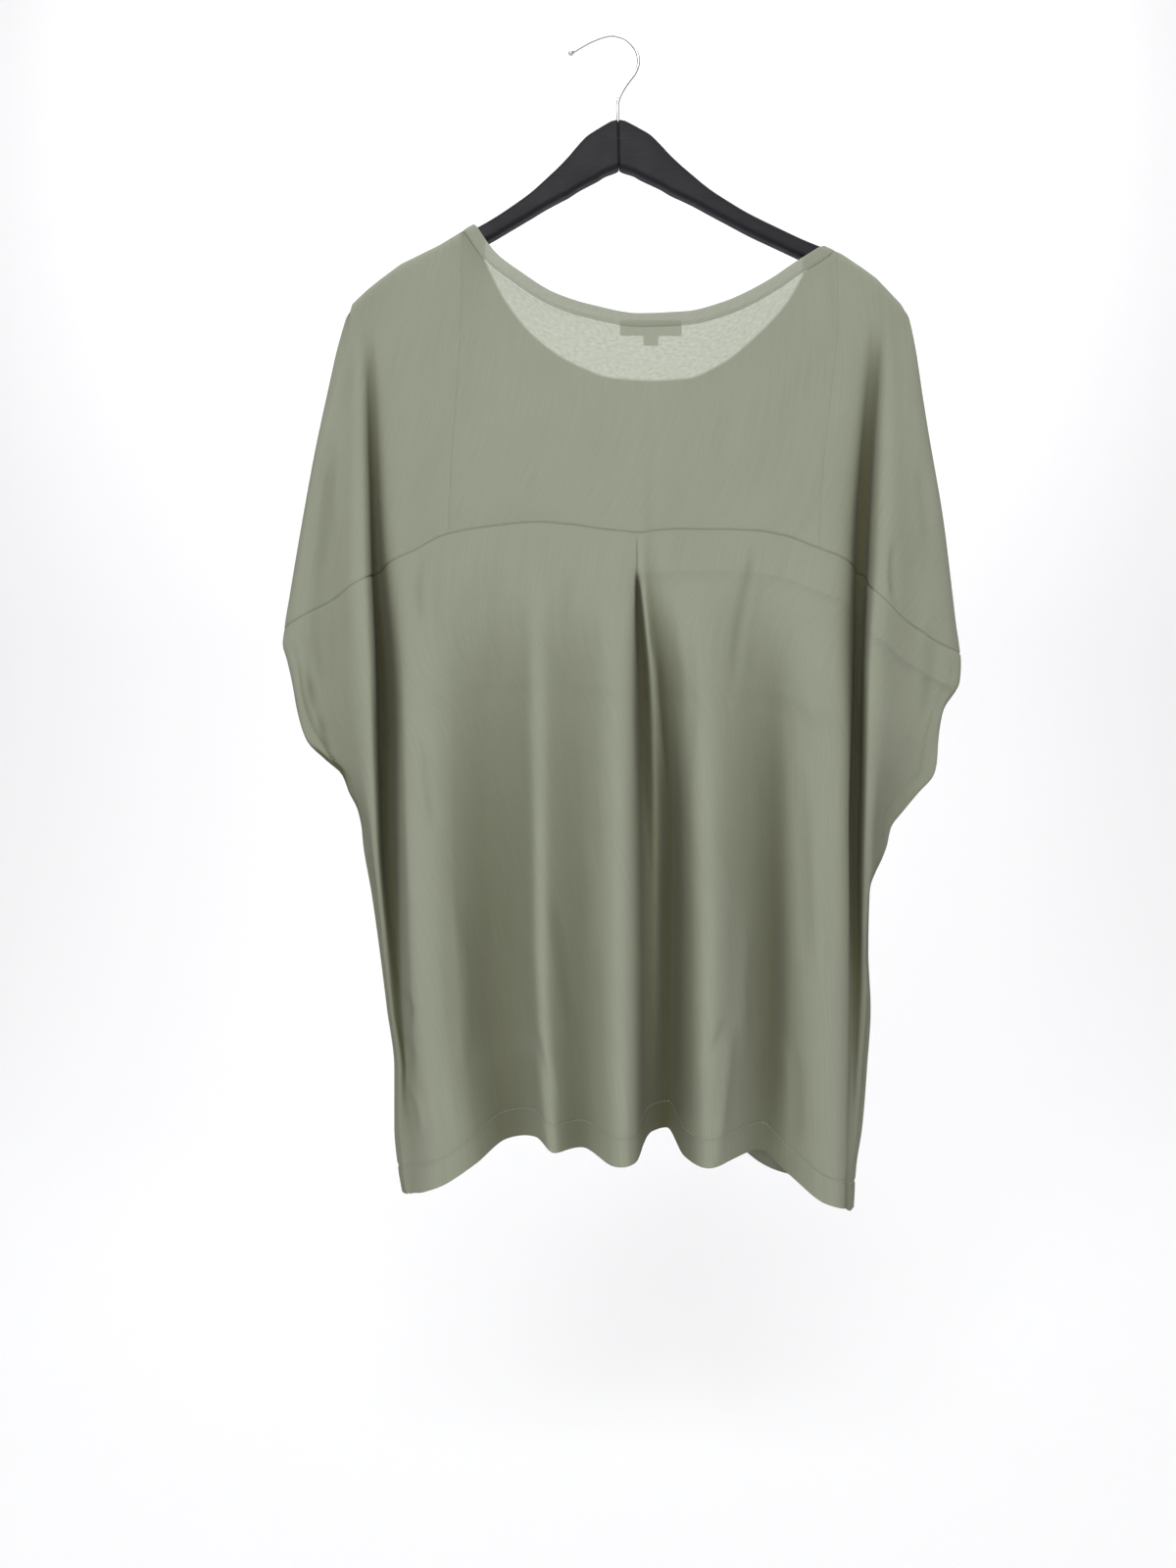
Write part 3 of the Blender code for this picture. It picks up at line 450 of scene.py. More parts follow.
def hanger_place(side, distance, height):
    """The x and height of a point of the tilted hanger; side is -1 on the left, 1 on the right."""
    tilt = math.radians(HANGER_TILT)
    x = HANGER_APEX[0] + math.cos(tilt) * side * distance - math.sin(tilt) * height
    z = HANGER_APEX[1] + math.sin(tilt) * side * distance + math.cos(tilt) * height
    return x, z


def shoulder_line():
    """The line where back and front meet over the arms, as x and height from left to right."""
    tops = []
    for distance, top, _, _ in ARM:
        if SHOULDER_FROM < distance < SHOULDER_TO:
            raised = (NECK_SEAT_FROM - distance) / (NECK_SEAT_FROM - NECK_SEAT_TO)
            tops.append((distance, top + SEAT + NECK_SEAT * float(ease(raised))))
    left = [hanger_place(-1, *row) for row in reversed(tops)]
    right = [hanger_place(1, *row) for row in tops]
    peak = (HANGER_APEX[0], left[-1][1] + SHOULDER_PEAK)
    return np.array([*LEFT_TIP, *left, peak, *right, *RIGHT_TIP], float)


SHOULDER = shoulder_line()


def shoulder_height(x):
    return np.interp(x, SHOULDER[:, 0], SHOULDER[:, 1])


def over_arms(x, z, depth):
    """A wall's depth, drawn in where it lies on the arms and turns over them."""
    drop = shoulder_height(x) - z
    depth = ARM_DEPTH + (depth - ARM_DEPTH) * ease(drop / FALL)
    turn = np.clip(drop / ROUND_OVER, 0.0, 1.0)
    return np.maximum(depth * np.sqrt(1 - (1 - turn) ** 2), GAP / 2)


def through_four(points, t):
    """The curve between the middle two of four points, with knots that suit uneven spacing."""
    gaps = [
        np.maximum(np.linalg.norm(b - a, axis=-1, keepdims=True), 1e-6) ** 0.5
        for a, b in zip(points, points[1:])
    ]
    k0 = np.zeros_like(gaps[0])
    k1 = k0 + gaps[0]
    k2 = k1 + gaps[1]
    k3 = k2 + gaps[2]
    k = k1 + t * gaps[1]
    a, b, c, d = points
    ab = (k1 - k) / (k1 - k0) * a + (k - k0) / (k1 - k0) * b
    bc = (k2 - k) / (k2 - k1) * b + (k - k1) / (k2 - k1) * c
    cd = (k3 - k) / (k3 - k2) * c + (k - k2) / (k3 - k2) * d
    abc = (k2 - k) / (k2 - k0) * ab + (k - k0) / (k2 - k0) * bc
    bcd = (k3 - k) / (k3 - k1) * bc + (k - k1) / (k3 - k1) * cd
    return (k2 - k) / (k2 - k1) * abc + (k - k1) / (k2 - k1) * bcd


class Wall:
    """The back or the front of the top, as a surface over fold number and height."""

    def __init__(self, side, folds):
        self.side = side
        self.folds = folds
        self.last = len(folds) + 1

    def line(self, number, z):
        """x and depth of a fold line; numbers 0 and last are the outlines."""
        heights = [row[0] for row in OUTLINE]
        if number in (0, self.last):
            column = 1 if number == 0 else 3
            x = smooth_through(heights, [row[column] for row in OUTLINE], z)
            depth = smooth_through(heights, [row[column + 1] for row in OUTLINE], z)
            return x, np.maximum(depth, GAP / 2)
        row = self.folds[number - 1]
        x = smooth_through(LEVELS, row[1], z)
        if number <= EDGE_FOLDS:
            x = np.maximum(x, self.line(0, z)[0] + EDGE_STEP * number)
        if number >= self.last - EDGE_FOLDS:
            x = np.minimum(x, self.line(self.last, z)[0] - EDGE_STEP * (self.last - number))
        return x, smooth_through(LEVELS, row[2], z)

    def section(self, at, z):
        """x and depth of the softened level cut at a fold number and heights z."""
        softness = SOFTNESS * float(ease(min(at, self.last - at)))
        ahead, behind = self.sharp_section(at + softness, z), self.sharp_section(at - softness, z)
        x, depth = (2 * self.sharp_section(at, z) + ahead + behind) / 4
        return x, np.maximum(depth, GAP / 2)

    def sharp_section(self, at, z):
        """x and depth of the level cut through the fold lines, before it is softened."""
        i = int(min(max(math.floor(at), 0), self.last - 1))
        points = []
        for number in range(i - 1, i + 3):
            if number < 0:
                x, depth = self.line(1, z)
                depth = -depth
            elif number > self.last:
                x, depth = self.line(self.last - 1, z)
                depth = -depth
            else:
                x, depth = self.line(number, z)
            points.append(np.stack([x, depth], axis=-1))
        return np.moveaxis(through_four(points, at - i), -1, 0)

    def place(self, at, z):
        """Points of the wall's middle surface at a fold number and heights z."""
        z = np.asarray(z, float)
        x, depth = self.section(at, z)
        return np.stack([x, self.side * over_arms(x, z, depth), z], axis=-1)

    def between_ends(self, ends, column, at):
        """A height at a fold number, from a column of the fold table and its two end values."""
        knots = (ends[0], *[row[column] for row in self.folds], ends[1])
        return float(smooth_through(range(self.last + 1), knots, at))

    def hem(self, at):
        return self.between_ends(HEM_ENDS, -1, at)

    def seam(self, at):
        return self.between_ends(SEAM_ENDS, 3, at)


class DepthMap:
    """A wall's y by x and height, on its smooth upper part."""

    def __init__(self, wall):
        self.side = wall.side
        self.heights = np.arange(*MAP_HEIGHTS, dtype=float)
        across = np.linspace(DEPTH_FOLDS_IN, wall.last - DEPTH_FOLDS_IN, DEPTH_SAMPLES)
        cuts = np.array([wall.section(at, self.heights) for at in across])
        self.x, self.depth = cuts[:, 0].T, cuts[:, 1].T

    def depth_at(self, x, z):
        place = np.clip((z - self.heights[0]) / (self.heights[1] - self.heights[0]), 0, None)
        low = min(int(place), len(self.heights) - 2)
        near, far = (np.interp(x, self.x[k], self.depth[k]) for k in (low, low + 1))
        depth = near + (far - near) * (place - low)
        return self.side * float(over_arms(x, z, depth))


class Neck:
    """One wall's neckline: its upper edge, and the direction across the binding at each place."""

    def __init__(self, table):
        ends = [(x, float(shoulder_height(x))) for x in NECK_POINTS]
        self.given = np.array([ends[0], *table, ends[1]], float)
        pieces = np.linalg.norm(np.diff(self.given, axis=0), axis=1)
        self.along = np.concatenate([[0], np.cumsum(pieces)])
        self.length = self.along[-1]

    def edge(self, at):
        """x and height of the upper edge at lengths along it."""
        return np.stack([smooth_through(self.along, self.given[:, k], at) for k in (0, 1)], axis=-1)

    def across(self, at):
        """The direction from the upper edge to the lower one. Over the arms it lies along them."""
        at = np.asarray(at, float)
        way = self.edge(at + 1) - self.edge(at - 1)
        out = unit(np.stack([way[..., 1], -way[..., 0]], axis=-1))
        left, right = NECK_POINTS
        for end, x, step in ((0, left, -ARM_STEP), (self.length, right, ARM_STEP)):
            arm = unit(np.array([step, float(shoulder_height(x + step) - shoulder_height(x))]))
            near = 1 - ease(np.abs(at - end) / NECK_TURN)[..., None]
            out = out * (1 - near) + arm * near
        return unit(out)

    def outside(self, at, width):
        """x and height of the line that lies that width below the upper edge."""
        return self.edge(at) + width * self.across(at)

    def lookup(self):
        """x and height of the cloth's upper edge, below the binding, and the lengths along it."""
        at = np.linspace(0, self.length, NECK_SAMPLES)
        line = self.outside(at, BINDING_WIDTH + GAP)
        return line[:, 0], line[:, 1], at


def cloth_top(wall, lookup, at):
    """Height of a wall's upper edge at a fold number, and its place on the neckline, if any."""
    xs, heights, places = lookup
    z = float(LEVELS[0])
    for _ in range(TOP_TRIES):
        x = float(wall.section(at, np.array(z))[0])
        on_neck = xs[0] - TOUCHING < x < xs[-1] + TOUCHING
        z = float(np.interp(x, xs, heights) if on_neck else shoulder_height(x))
    return z, float(np.interp(x, xs, places)) if on_neck else None


def fold_number_at(wall, x):
    """The fold number whose column stands at x on the shoulders."""
    low, high = 0.0, float(wall.last)
    for _ in range(HALVINGS):
        middle = (low + high) / 2
        if float(wall.section(middle, np.array(float(LEVELS[0])))[0]) < x:
            low = middle
        else:
            high = middle
    return (low + high) / 2


def columns(wall, lookup):
    """Where the mesh's columns run, as fold numbers, with more of them at the neck's corners."""
    steps = wall.last * COLUMNS_PER_FOLD
    numbers = [step / COLUMNS_PER_FOLD for step in range(steps + 1)]
    for corner, way in ((lookup[0][0], 1), (lookup[0][-1], -1)):
        extra = [fold_number_at(wall, corner + way * step) for step in CORNER_STEPS]
        numbers = [n for n in numbers if min(abs(n - e) for e in extra) > COLUMN_ROOM] + extra
    return sorted(numbers)


def crease_rise(x, z, creases):
    """How far the cloth stands out for its small creases, at x and z."""
    rise = np.zeros_like(x)
    for points, half_width, height in creases:
        given = np.array(points, float)
        steps = np.linspace(0, len(given) - 1, CREASE_STEPS * (len(given) - 1) + 1)
        line = np.stack([smooth_through(range(len(given)), given[:, k], steps) for k in (0, 1)], -1)
        low = line.min(axis=0) - 3 * half_width
        high = line.max(axis=0) + 3 * half_width
        near = (x > low[0]) & (x < high[0]) & (z > low[1]) & (z < high[1])
        if not near.any():
            continue
        place = np.stack([x[near], z[near]], axis=-1)
        best = np.full(len(place), np.inf)
        share = np.zeros(len(place))
        for k, (a, b) in enumerate(zip(line, line[1:])):
            way = b - a
            t = np.clip(((place - a) @ way) / (way @ way), 0, 1)
            away = np.linalg.norm(place - a - t[:, None] * way, axis=1)
            closer = away < best
            best[closer] = away[closer]
            share[closer] = (k + t[closer]) / (len(line) - 1)
        fade = ease(CREASE_FADE * share) * ease(CREASE_FADE * (1 - share))
        rise[near] += height * fade * np.exp(-((best / half_width) ** 2))
    return rise


def sway(grid):
    """A slight unevenness over a whole wall, so that no stretch of cloth is ruled."""
    wide, tall = SWAY_SCALE
    flat = grid.reshape(-1, 3)
    values = [noise.noise(Vector((x * wide, y * wide, z * tall))) for x, y, z in flat]
    return SWAY * np.array(values).reshape(grid.shape[:2])


def normals_of(grid, side):
    """The direction out of the top at each point of a grid of columns and rows."""
    across = np.gradient(grid, axis=0)
    down = np.gradient(grid, axis=1)
    return unit(np.cross(across, down) * side)


def cloth_lengths(grid):
    """Lengths along the cloth in millimetres: across from the first column, and down from the top."""
    across = np.linalg.norm(np.diff(grid, axis=0), axis=2)
    down = np.linalg.norm(np.diff(grid, axis=1), axis=2)
    u = np.concatenate([np.zeros((1, grid.shape[1])), np.cumsum(across, axis=0)])
    v = np.concatenate([np.zeros((grid.shape[0], 1)), np.cumsum(down, axis=1)], axis=1)
    return u, v


class Cloth:
    """A fine grid of a cloth piece, with its outward directions and lengths."""

    def __init__(self, wall, numbers, heights, creases, on_shoulder):
        self.wall = wall
        heights = np.array(heights)
        grid = np.array([wall.place(at, column) for at, column in zip(numbers, heights)])
        normal = normals_of(grid, wall.side)
        u, _ = cloth_lengths(grid)
        edge = ease(u / CREASE_EDGE) * ease((u[-1] - u) / CREASE_EDGE)
        drop = ease((shoulder_height(grid[..., 0]) - grid[..., 2]) / CREASE_TOP)
        rise = (crease_rise(grid[..., 0], grid[..., 2], creases) + sway(grid)) * edge * drop
        self.grid = grid + normal * rise[..., None]
        self.on_shoulder = on_shoulder
        self.refresh()

    def refresh(self):
        """Works the directions and lengths out again after the grid has moved."""
        normal = normals_of(self.grid, self.wall.side)
        level = np.array([1.0, 0.0, 1.0])
        normal[0] *= level
        normal[-1] *= level
        if self.on_shoulder:
            on_arm = np.abs(self.grid[:, 0, 1]) < OVER_ARM
            normal[on_arm, 0] *= level
        self.normal = unit(normal)
        self.u, self.v = cloth_lengths(self.grid)

    def dip(self, distance, depth, reach):
        """Presses the cloth in along a line, by its distance from each point."""
        press = depth * np.exp(-((distance / reach) ** 2))
        self.grid = self.grid - self.normal * press[..., None]

    def from_left(self):
        """Each point's length along the cloth from the left outline."""
        return self.u

    def from_right(self):
        """Each point's length along the cloth from the right outline."""
        return self.u[-1] - self.u


def openness(cloth):
    """How much of the surroundings each point sees past the folds beside it, from 0 to 1; the knit's
    colour is darkened by it as painted shade in the hollows.
    """
    across, rows = cloth.grid.shape[:2]
    after = np.triu(np.ones((across, across), bool), 1)
    seen = np.ones((across, rows))
    for row in range(rows):
        x, out = cloth.grid[:, row, 0], cloth.wall.side * cloth.grid[:, row, 1]
        rise, run = out[None] - out[:, None], x[None] - x[:, None]
        right = np.where(after, np.arctan2(rise, run), 0).max(axis=1)
        left = np.where(after.T, np.arctan2(rise, -run), 0).max(axis=1)
        seen[:, row] = 1 - (np.clip(left, 0, None) + np.clip(right, 0, None)) / math.pi
    for axis in (0, 1):
        wide = np.concatenate([seen.take([0], axis), seen, seen.take([-1], axis)], axis)
        count = seen.shape[axis]
        seen = (wide.take(range(count), axis) + 2 * seen + wide.take(range(2, count + 2), axis)) / 4
    return np.clip(seen, 0, 1)


def fill_rows(uppers, lowers, span):
    """Each column's heights: its given upper and lower rows, and even ones between for a span."""
    count = max(int(round(span / ROW_STEP)), 1)
    return [
        [*upper, *np.linspace(upper[-1], lower[0], count + 1)[1:-1], *lower]
        for upper, lower in zip(uppers, lowers)
    ]


def grid_faces(across, rows, ring):
    """Faces of a closed shell between two grids; a ring's last column joins its first."""
    half = across * rows
    faces = []

    def corner(c, r):
        return (c % across) * rows + r

    def rim(a, b):
        faces.append((a, b, half + b, half + a))

    for c in range(across if ring else across - 1):
        for r in range(rows - 1):
            quad = (corner(c, r), corner(c, r + 1), corner(c + 1, r + 1), corner(c + 1, r))
            faces.append(quad)
            faces.append(tuple(half + k for k in reversed(quad)))
        rim(corner(c, 0), corner(c + 1, 0))
        rim(corner(c + 1, rows - 1), corner(c, rows - 1))
    if not ring:
        for r in range(rows - 1):
            rim(corner(0, r + 1), corner(0, r))
            rim(corner(across - 1, r), corner(across - 1, r + 1))
    return faces


def tube_faces(rings, sides, first=0):
    """Faces of a closed tube of rings with two flat ends, from the number of its first point."""
    faces = []
    for ring in range(rings - 1):
        for k in range(sides):
            a = first + ring * sides + k
            b = first + ring * sides + (k + 1) % sides
            faces.append((a, b, b + sides, a + sides))
    last = first + (rings - 1) * sides
    faces.append(tuple(range(first, first + sides)))
    faces.append(tuple(range(last, last + sides)))
    return faces


def add_piece(name, points, faces, material, sharp=50):
    """A mesh piece from points in millimetres, on the object's one body."""
    mesh = bpy.data.meshes.new(name)
    mesh.from_pydata((np.asarray(points, float) * MM).tolist(), [], faces)
    solid = bmesh.new()
    solid.from_mesh(mesh)
    bmesh.ops.recalc_face_normals(solid, faces=solid.faces)
    solid.to_mesh(mesh)
    solid.free()
    mesh.materials.append(material)
    mesh.shade_smooth()
    mesh.set_sharp_from_angle(angle=math.radians(sharp))
    piece = bpy.data.objects.new(name, mesh)
    bpy.context.scene.collection.objects.link(piece)
    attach(piece, "root")
    return piece


def give_lengths(piece, u, v):
    """A UV map in millimetres of cloth, from one pair of lengths for each point."""
    mesh = piece.data
    layer = mesh.uv_layers.new(name="cloth")
    points = np.zeros(len(mesh.loops), np.int32)
    mesh.loops.foreach_get("vertex_index", points)
    lengths = np.stack([u[points], v[points]], axis=1)
    layer.data.foreach_set("uv", lengths.astype(np.float32).ravel())


def give_values(piece, name, values):
    """A number for each point, under a name that a material reads."""
    layer = piece.data.attributes.new(name, "FLOAT", "POINT")
    layer.data.foreach_set("value", np.asarray(values, np.float32).ravel())


def shell(name, cloth, thickness, material):
    """A closed thin shell on a cloth grid, with its outer face where the solid has it."""
    outer = cloth.grid + cloth.normal * WALL / 2
    inner = outer - cloth.normal * thickness[..., None]
    across, rows = cloth.grid.shape[:2]
    points = np.concatenate([outer.reshape(-1, 3), inner.reshape(-1, 3)])
    piece = add_piece(name, points, grid_faces(across, rows, False), material)
    give_lengths(piece, np.tile(cloth.u.ravel(), 2), np.tile(cloth.v.ravel(), 2))
    give_show_through(piece, points)
    # Painted shade: the openness darkens the knit's colour in the hollows, and the inner face gets one
    # fixed share of it throughout
    inside = np.full(cloth.u.size, INSIDE_OPENNESS)
    give_values(piece, "openness", np.concatenate([openness(cloth).ravel(), inside]))
    return piece


def give_show_through(piece, points):
    """How far each point lies, as the camera sees, inside the crescent of painted light where one
    layer lets light through, and inside the label, whose painted shadow holds that light back.
    """
    x, z = points[:, 0], points[:, 2]
    eye = np.array([CAMERA[0], CAMERA[2]])
    seen = eye + SIGHT * (np.array(FRONT_NECK, float) - eye)
    beside = np.clip(np.stack([x - 2, x, x + 2]), seen[0, 0], seen[-1, 0])
    heights = smooth_through(seen[:, 0], seen[:, 1], beside)
    edge = heights[1]
    slope = np.gradient(heights, 2, axis=0)[1]
    inside = (z - edge) / np.sqrt(1 + slope * slope)
    within_ends = np.minimum(x - seen[0, 0], seen[-1, 0] - x)
    is_back = points[:, 1] < 0
    give_values(piece, "crescent", np.where(is_back, np.minimum(inside, within_ends), OUTSIDE))
    tagged = np.full(len(points), OUTSIDE)
    for _, left, right, top, bottom, _ in LABELS:
        box = np.minimum.reduce([x - left, right - x, top - z, z - bottom])
        tagged = np.maximum(tagged, box)
    give_values(piece, "tagged", np.where(is_back, tagged, OUTSIDE))


def band_thickness(cloth, hem_row_height):
    """Shell thickness: doubled in the turned bottom hem and beside the sleeve mouths."""
    z = cloth.grid[..., 2]
    hem = ease((hem_row_height - z) / BAND_STEP + 1)
    left_share = ease((SLEEVE_BAND - cloth.from_left()) / BAND_STEP + 1)
    right_share = ease((SLEEVE_BAND - cloth.from_right()) / BAND_STEP + 1)
    left = left_share * (z < LEFT_MOUTH[0]) * (z > LEFT_MOUTH[1])
    right = right_share * (z < RIGHT_MOUTH[0]) * (z > RIGHT_MOUTH[1])
    doubled = np.clip(hem + left + right, 0, 1)
    return SHELL + (HEM_SHELL - SHELL) * doubled


def press_bands(cloth, hem_row_height):
    """The dimples along the stitch lines of the bottom hem and of the sleeves' hems."""
    z = cloth.grid[..., 2]
    cloth.dip(z - hem_row_height, STITCH_DIP, STITCH_REACH)
    for distance, (high, low) in (
        (cloth.from_left(), LEFT_MOUTH),
        (cloth.from_right(), RIGHT_MOUTH),
    ):
        share = ease((high - z) / MOUTH_FADE) * ease((z - low) / MOUTH_FADE)
        cloth.dip(np.where(share > 0, distance - SLEEVE_BAND, np.inf), STITCH_DIP, STITCH_REACH)


def press_pleat(cloth):
    """The slit of the inverted pleat, and the line where it is sewn shut above that."""
    x, z = cloth.grid[..., 0], cloth.grid[..., 2]
    heights, middles, widths, depths = np.array(PLEAT).T
    middle = smooth_through(heights, middles, z)
    width = smooth_through(heights, widths, z)
    depth = smooth_through(heights, depths, z) * (z < heights[0])
    cloth.grid[..., 1] += depth * np.exp(-(np.abs((x - middle) / width) ** 3))
    (high, low), middle, width, depth = PLEAT_SEWING
    share = ease((high - z) / PLEAT_FADE) * ease((z - low) / PLEAT_FADE)
    cloth.dip(x - middle, depth * share, width)


def hem_heights(hem):
    """The last rows of a column: close together at the hem's stitches, then down to its edge."""
    rows = [hem + HEM_BAND + rise for rise in HEM_ROWS]
    return [*rows, *np.linspace(rows[-1], hem, HEM_TAIL + 1)[1:]]


def make_back_yoke(wall, lookup, numbers, material):
    """The back's upper piece, across both sleeves, from the shoulders down to the curved seam."""
    tops = [cloth_top(wall, lookup, at)[0] for at in numbers]
    seams = [wall.seam(at) + SEAM_GAP / 2 for at in numbers]
    uppers = [[top - drop for drop in TOP_ROWS] for top in tops]
    lowers = [[seam + rise for rise in reversed(SEAM_ROWS)] for seam in seams]
    heights = fill_rows(uppers, lowers, max(tops) - TOP_ROWS[-1] - min(seams))
    cloth = Cloth(wall, numbers, heights, BACK_CREASES, True)
    seam_line = np.array(seams)[:, None]
    cloth.dip(cloth.grid[..., 2] - seam_line, SEAM_DIP, SEAM_REACH)
    cloth.refresh()
    piece = shell("back_yoke_cloth", cloth, np.full(cloth.u.shape, SHELL), material)
    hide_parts("back_yoke")
    return piece


def make_back_panel(wall, numbers, material):
    """The back's lower piece, with the sleeves' lower backs, the pleat and the hem."""
    seams = [wall.seam(at) - SEAM_GAP / 2 for at in numbers]
    hems = [wall.hem(at) for at in numbers]
    uppers = [[seam - drop for drop in SEAM_ROWS] for seam in seams]
    lowers = [hem_heights(hem) for hem in hems]
    heights = fill_rows(uppers, lowers, max(seams) - min(hems) - HEM_BAND)
    cloth = Cloth(wall, numbers, heights, BACK_CREASES, False)
    stitch_line = np.array(hems)[:, None] + HEM_BAND
    cloth.dip(cloth.grid[..., 2] - np.array(seams)[:, None], SEAM_DIP, SEAM_REACH)
    press_bands(cloth, stitch_line)
    press_pleat(cloth)
    cloth.refresh()
    piece = shell("back_panel_cloth", cloth, band_thickness(cloth, stitch_line), material)
    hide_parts("back_panel")
    return piece, cloth


def make_front(wall, lookup, numbers, material):
    """The front, with the fronts of both sleeves, in one piece."""
    tops = [cloth_top(wall, lookup, at)[0] for at in numbers]
    hems = [wall.hem(at) for at in numbers]
    uppers = [[top - drop for drop in TOP_ROWS] for top in tops]
    lowers = [hem_heights(hem) for hem in hems]
    heights = fill_rows(uppers, lowers, max(tops) - min(hems) - HEM_BAND)
    cloth = Cloth(wall, numbers, heights, FRONT_CREASES, True)
    stitch_line = np.array(hems)[:, None] + HEM_BAND
    press_bands(cloth, stitch_line)
    cloth.refresh()
    piece = shell("front_cloth", cloth, band_thickness(cloth, stitch_line), material)
    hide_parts("front")
    return piece, cloth


def resample(points, normals, pitch):
    """Points and normals every pitch along a line, from its start to its end."""
    pieces = np.linalg.norm(np.diff(points, axis=0), axis=1)
    along = np.concatenate([[0], np.cumsum(pieces)])
    at = np.arange(pitch / 2, along[-1] - pitch / 2, pitch)
    place = np.stack([np.interp(at, along, points[:, k]) for k in range(3)], axis=1)
    normal = unit(np.stack([np.interp(at, along, normals[:, k]) for k in range(3)], axis=1))
    return place, normal


def stitch_row(name, lines, size, material):
    """Rows of raised stitches along lines on the cloth, each a small closed spindle of thread."""
    length, pitch, half = size
    points, faces = [], []
    for line, normals in lines:
        place, normal = resample(line, normals, pitch)
        way = unit(np.gradient(place, axis=0))
        side = unit(np.cross(way, normal))
        for centre, along, up, out in zip(place, way, normal, side):
            first = len(points)
            for shift, reach in STITCH_RINGS:
                lift = STITCH_LIFT * reach - STITCH_SUNK
                middle = centre + along * length * shift + up * half * lift
                for k in range(STITCH_SIDES):
                    angle = 2 * math.pi * k / STITCH_SIDES
                    spread = out * math.cos(angle) + up * STITCH_FLATNESS * math.sin(angle)
                    points.append(middle + spread * half * reach)
            faces += tube_faces(len(STITCH_RINGS), STITCH_SIDES, first)
    return add_piece(name, points, faces, material, sharp=180)


def outer_row(cloth, row):
    """The outer face's points along one row of the grid, and their directions."""
    return cloth.grid[:, row] + cloth.normal[:, row] * WALL / 2, cloth.normal[:, row]


def mouth_line(cloth, lengths, mouth):
    """A line on the outer face that runs a sleeve band's width in from the sleeve's mouth."""
    points, normals = [], []
    for row in range(cloth.grid.shape[1]):
        order = np.argsort(lengths[:, row])
        away, way = lengths[order, row], cloth.normal[order, row]
        outer = cloth.grid[order, row] + way * WALL / 2
        place = [np.interp(SLEEVE_BAND, away, outer[:, k]) for k in range(3)]
        if mouth[1] < place[2] < mouth[0]:
            points.append(place)
            normals.append([np.interp(SLEEVE_BAND, away, way[:, k]) for k in range(3)])
    return np.array(points), unit(np.array(normals))


def make_binding(parts, material, thread):
    """One closed band round the neck, over both arms, with rounded edges and a row of stitches."""
    across = np.linspace(0, BINDING_WIDTH, BINDING_ROWS)
    near_ends = np.array(NECK_END_STEPS)
    strips = []
    for depths, neck in parts:
        at = np.linspace(0, neck.length, NECK_STATIONS)
        at = np.unique(np.concatenate([at, near_ends, neck.length - near_ends]))
        strip = []
        for width in across:
            line = neck.outside(at, width)
            ys = np.array([depths.depth_at(x, z) for x, z in line])
            ys[0] = ys[-1] = 0.0
            strip.append(np.stack([line[:, 0], ys, line[:, 1]], axis=1))
        strips.append(np.array(strip))
    ring = np.moveaxis(np.concatenate([strips[0], strips[1][:, -2:0:-1]], axis=1), 0, 1)
    round_neck = np.roll(ring, -1, axis=0) - np.roll(ring, 1, axis=0)
    normal = unit(np.cross(np.gradient(ring, axis=1), round_neck))
    edge = np.minimum(across, BINDING_WIDTH - across)
    turn = np.clip(edge / (BINDING_WALL / 2), 0, 1)
    swell = np.sqrt(np.clip(1 - (1 - turn) ** 2, BINDING_EDGE, 1))
    from_stitches = across - (BINDING_WIDTH - BINDING_STITCH)
    press, reach = BINDING_PRESS
    stitched = 1 - press * np.exp(-((from_stitches / reach) ** 2))
    lift = normal * (BINDING_WALL / 2 * swell * stitched)[None, :, None]
    outer, inner = ring + lift, ring - lift
    stations, rows = ring.shape[:2]
    points = np.concatenate([outer.reshape(-1, 3), inner.reshape(-1, 3)])
    faces = grid_faces(stations, rows, True)
    piece = add_piece("neck_binding_cloth", points, faces, material)
    u, v = cloth_lengths(ring)
    give_lengths(piece, np.tile(v.ravel(), 2), np.tile(u.ravel(), 2))
    give_show_through(piece, points)
    give_values(piece, "openness", np.ones(len(points)))
    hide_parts("neck_binding")
    row = int(np.argmin(np.abs(from_stitches)))
    line = np.concatenate([outer[:, row], outer[:1, row]])
    way = np.concatenate([normal[:, row], normal[:1, row]])
    facing = np.sign((way * (line - line.mean(axis=0)))[:, 1].mean()) or 1.0
    sewing = stitch_row("neck_stitches", [(line, way * facing)], FINE_STITCH, thread)
    return piece, sewing


def make_label(name, left, right, top, bottom, inside, depths, material):
    """A blank strip of woven tape inside the back, with rounded selvedges."""
    xs = np.linspace(left, right, LABEL_COLUMNS)
    zs = np.linspace(top, bottom, LABEL_ROWS)
    middle = np.array([[(x, depths.depth_at(x, z) + inside, z) for z in zs] for x in xs])
    middle[..., 1] += LABEL_BOW * np.sin(np.linspace(0, math.pi, LABEL_COLUMNS))[:, None]
    shift = np.zeros_like(middle)
    shift[..., 1] = LABEL_WALL / 2
    shift[:, [0, -1], 1] *= SELVEDGE
    shift[[0, -1], :, 1] *= SELVEDGE
    points = np.concatenate([(middle - shift).reshape(-1, 3), (middle + shift).reshape(-1, 3)])
    faces = grid_faces(LABEL_COLUMNS, LABEL_ROWS, False)
    piece = add_piece(f"{name}_tape", points, faces, material)
    u, v = cloth_lengths(middle)
    give_lengths(piece, np.tile(u.ravel(), 2), np.tile(v.ravel(), 2))
    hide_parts(name)


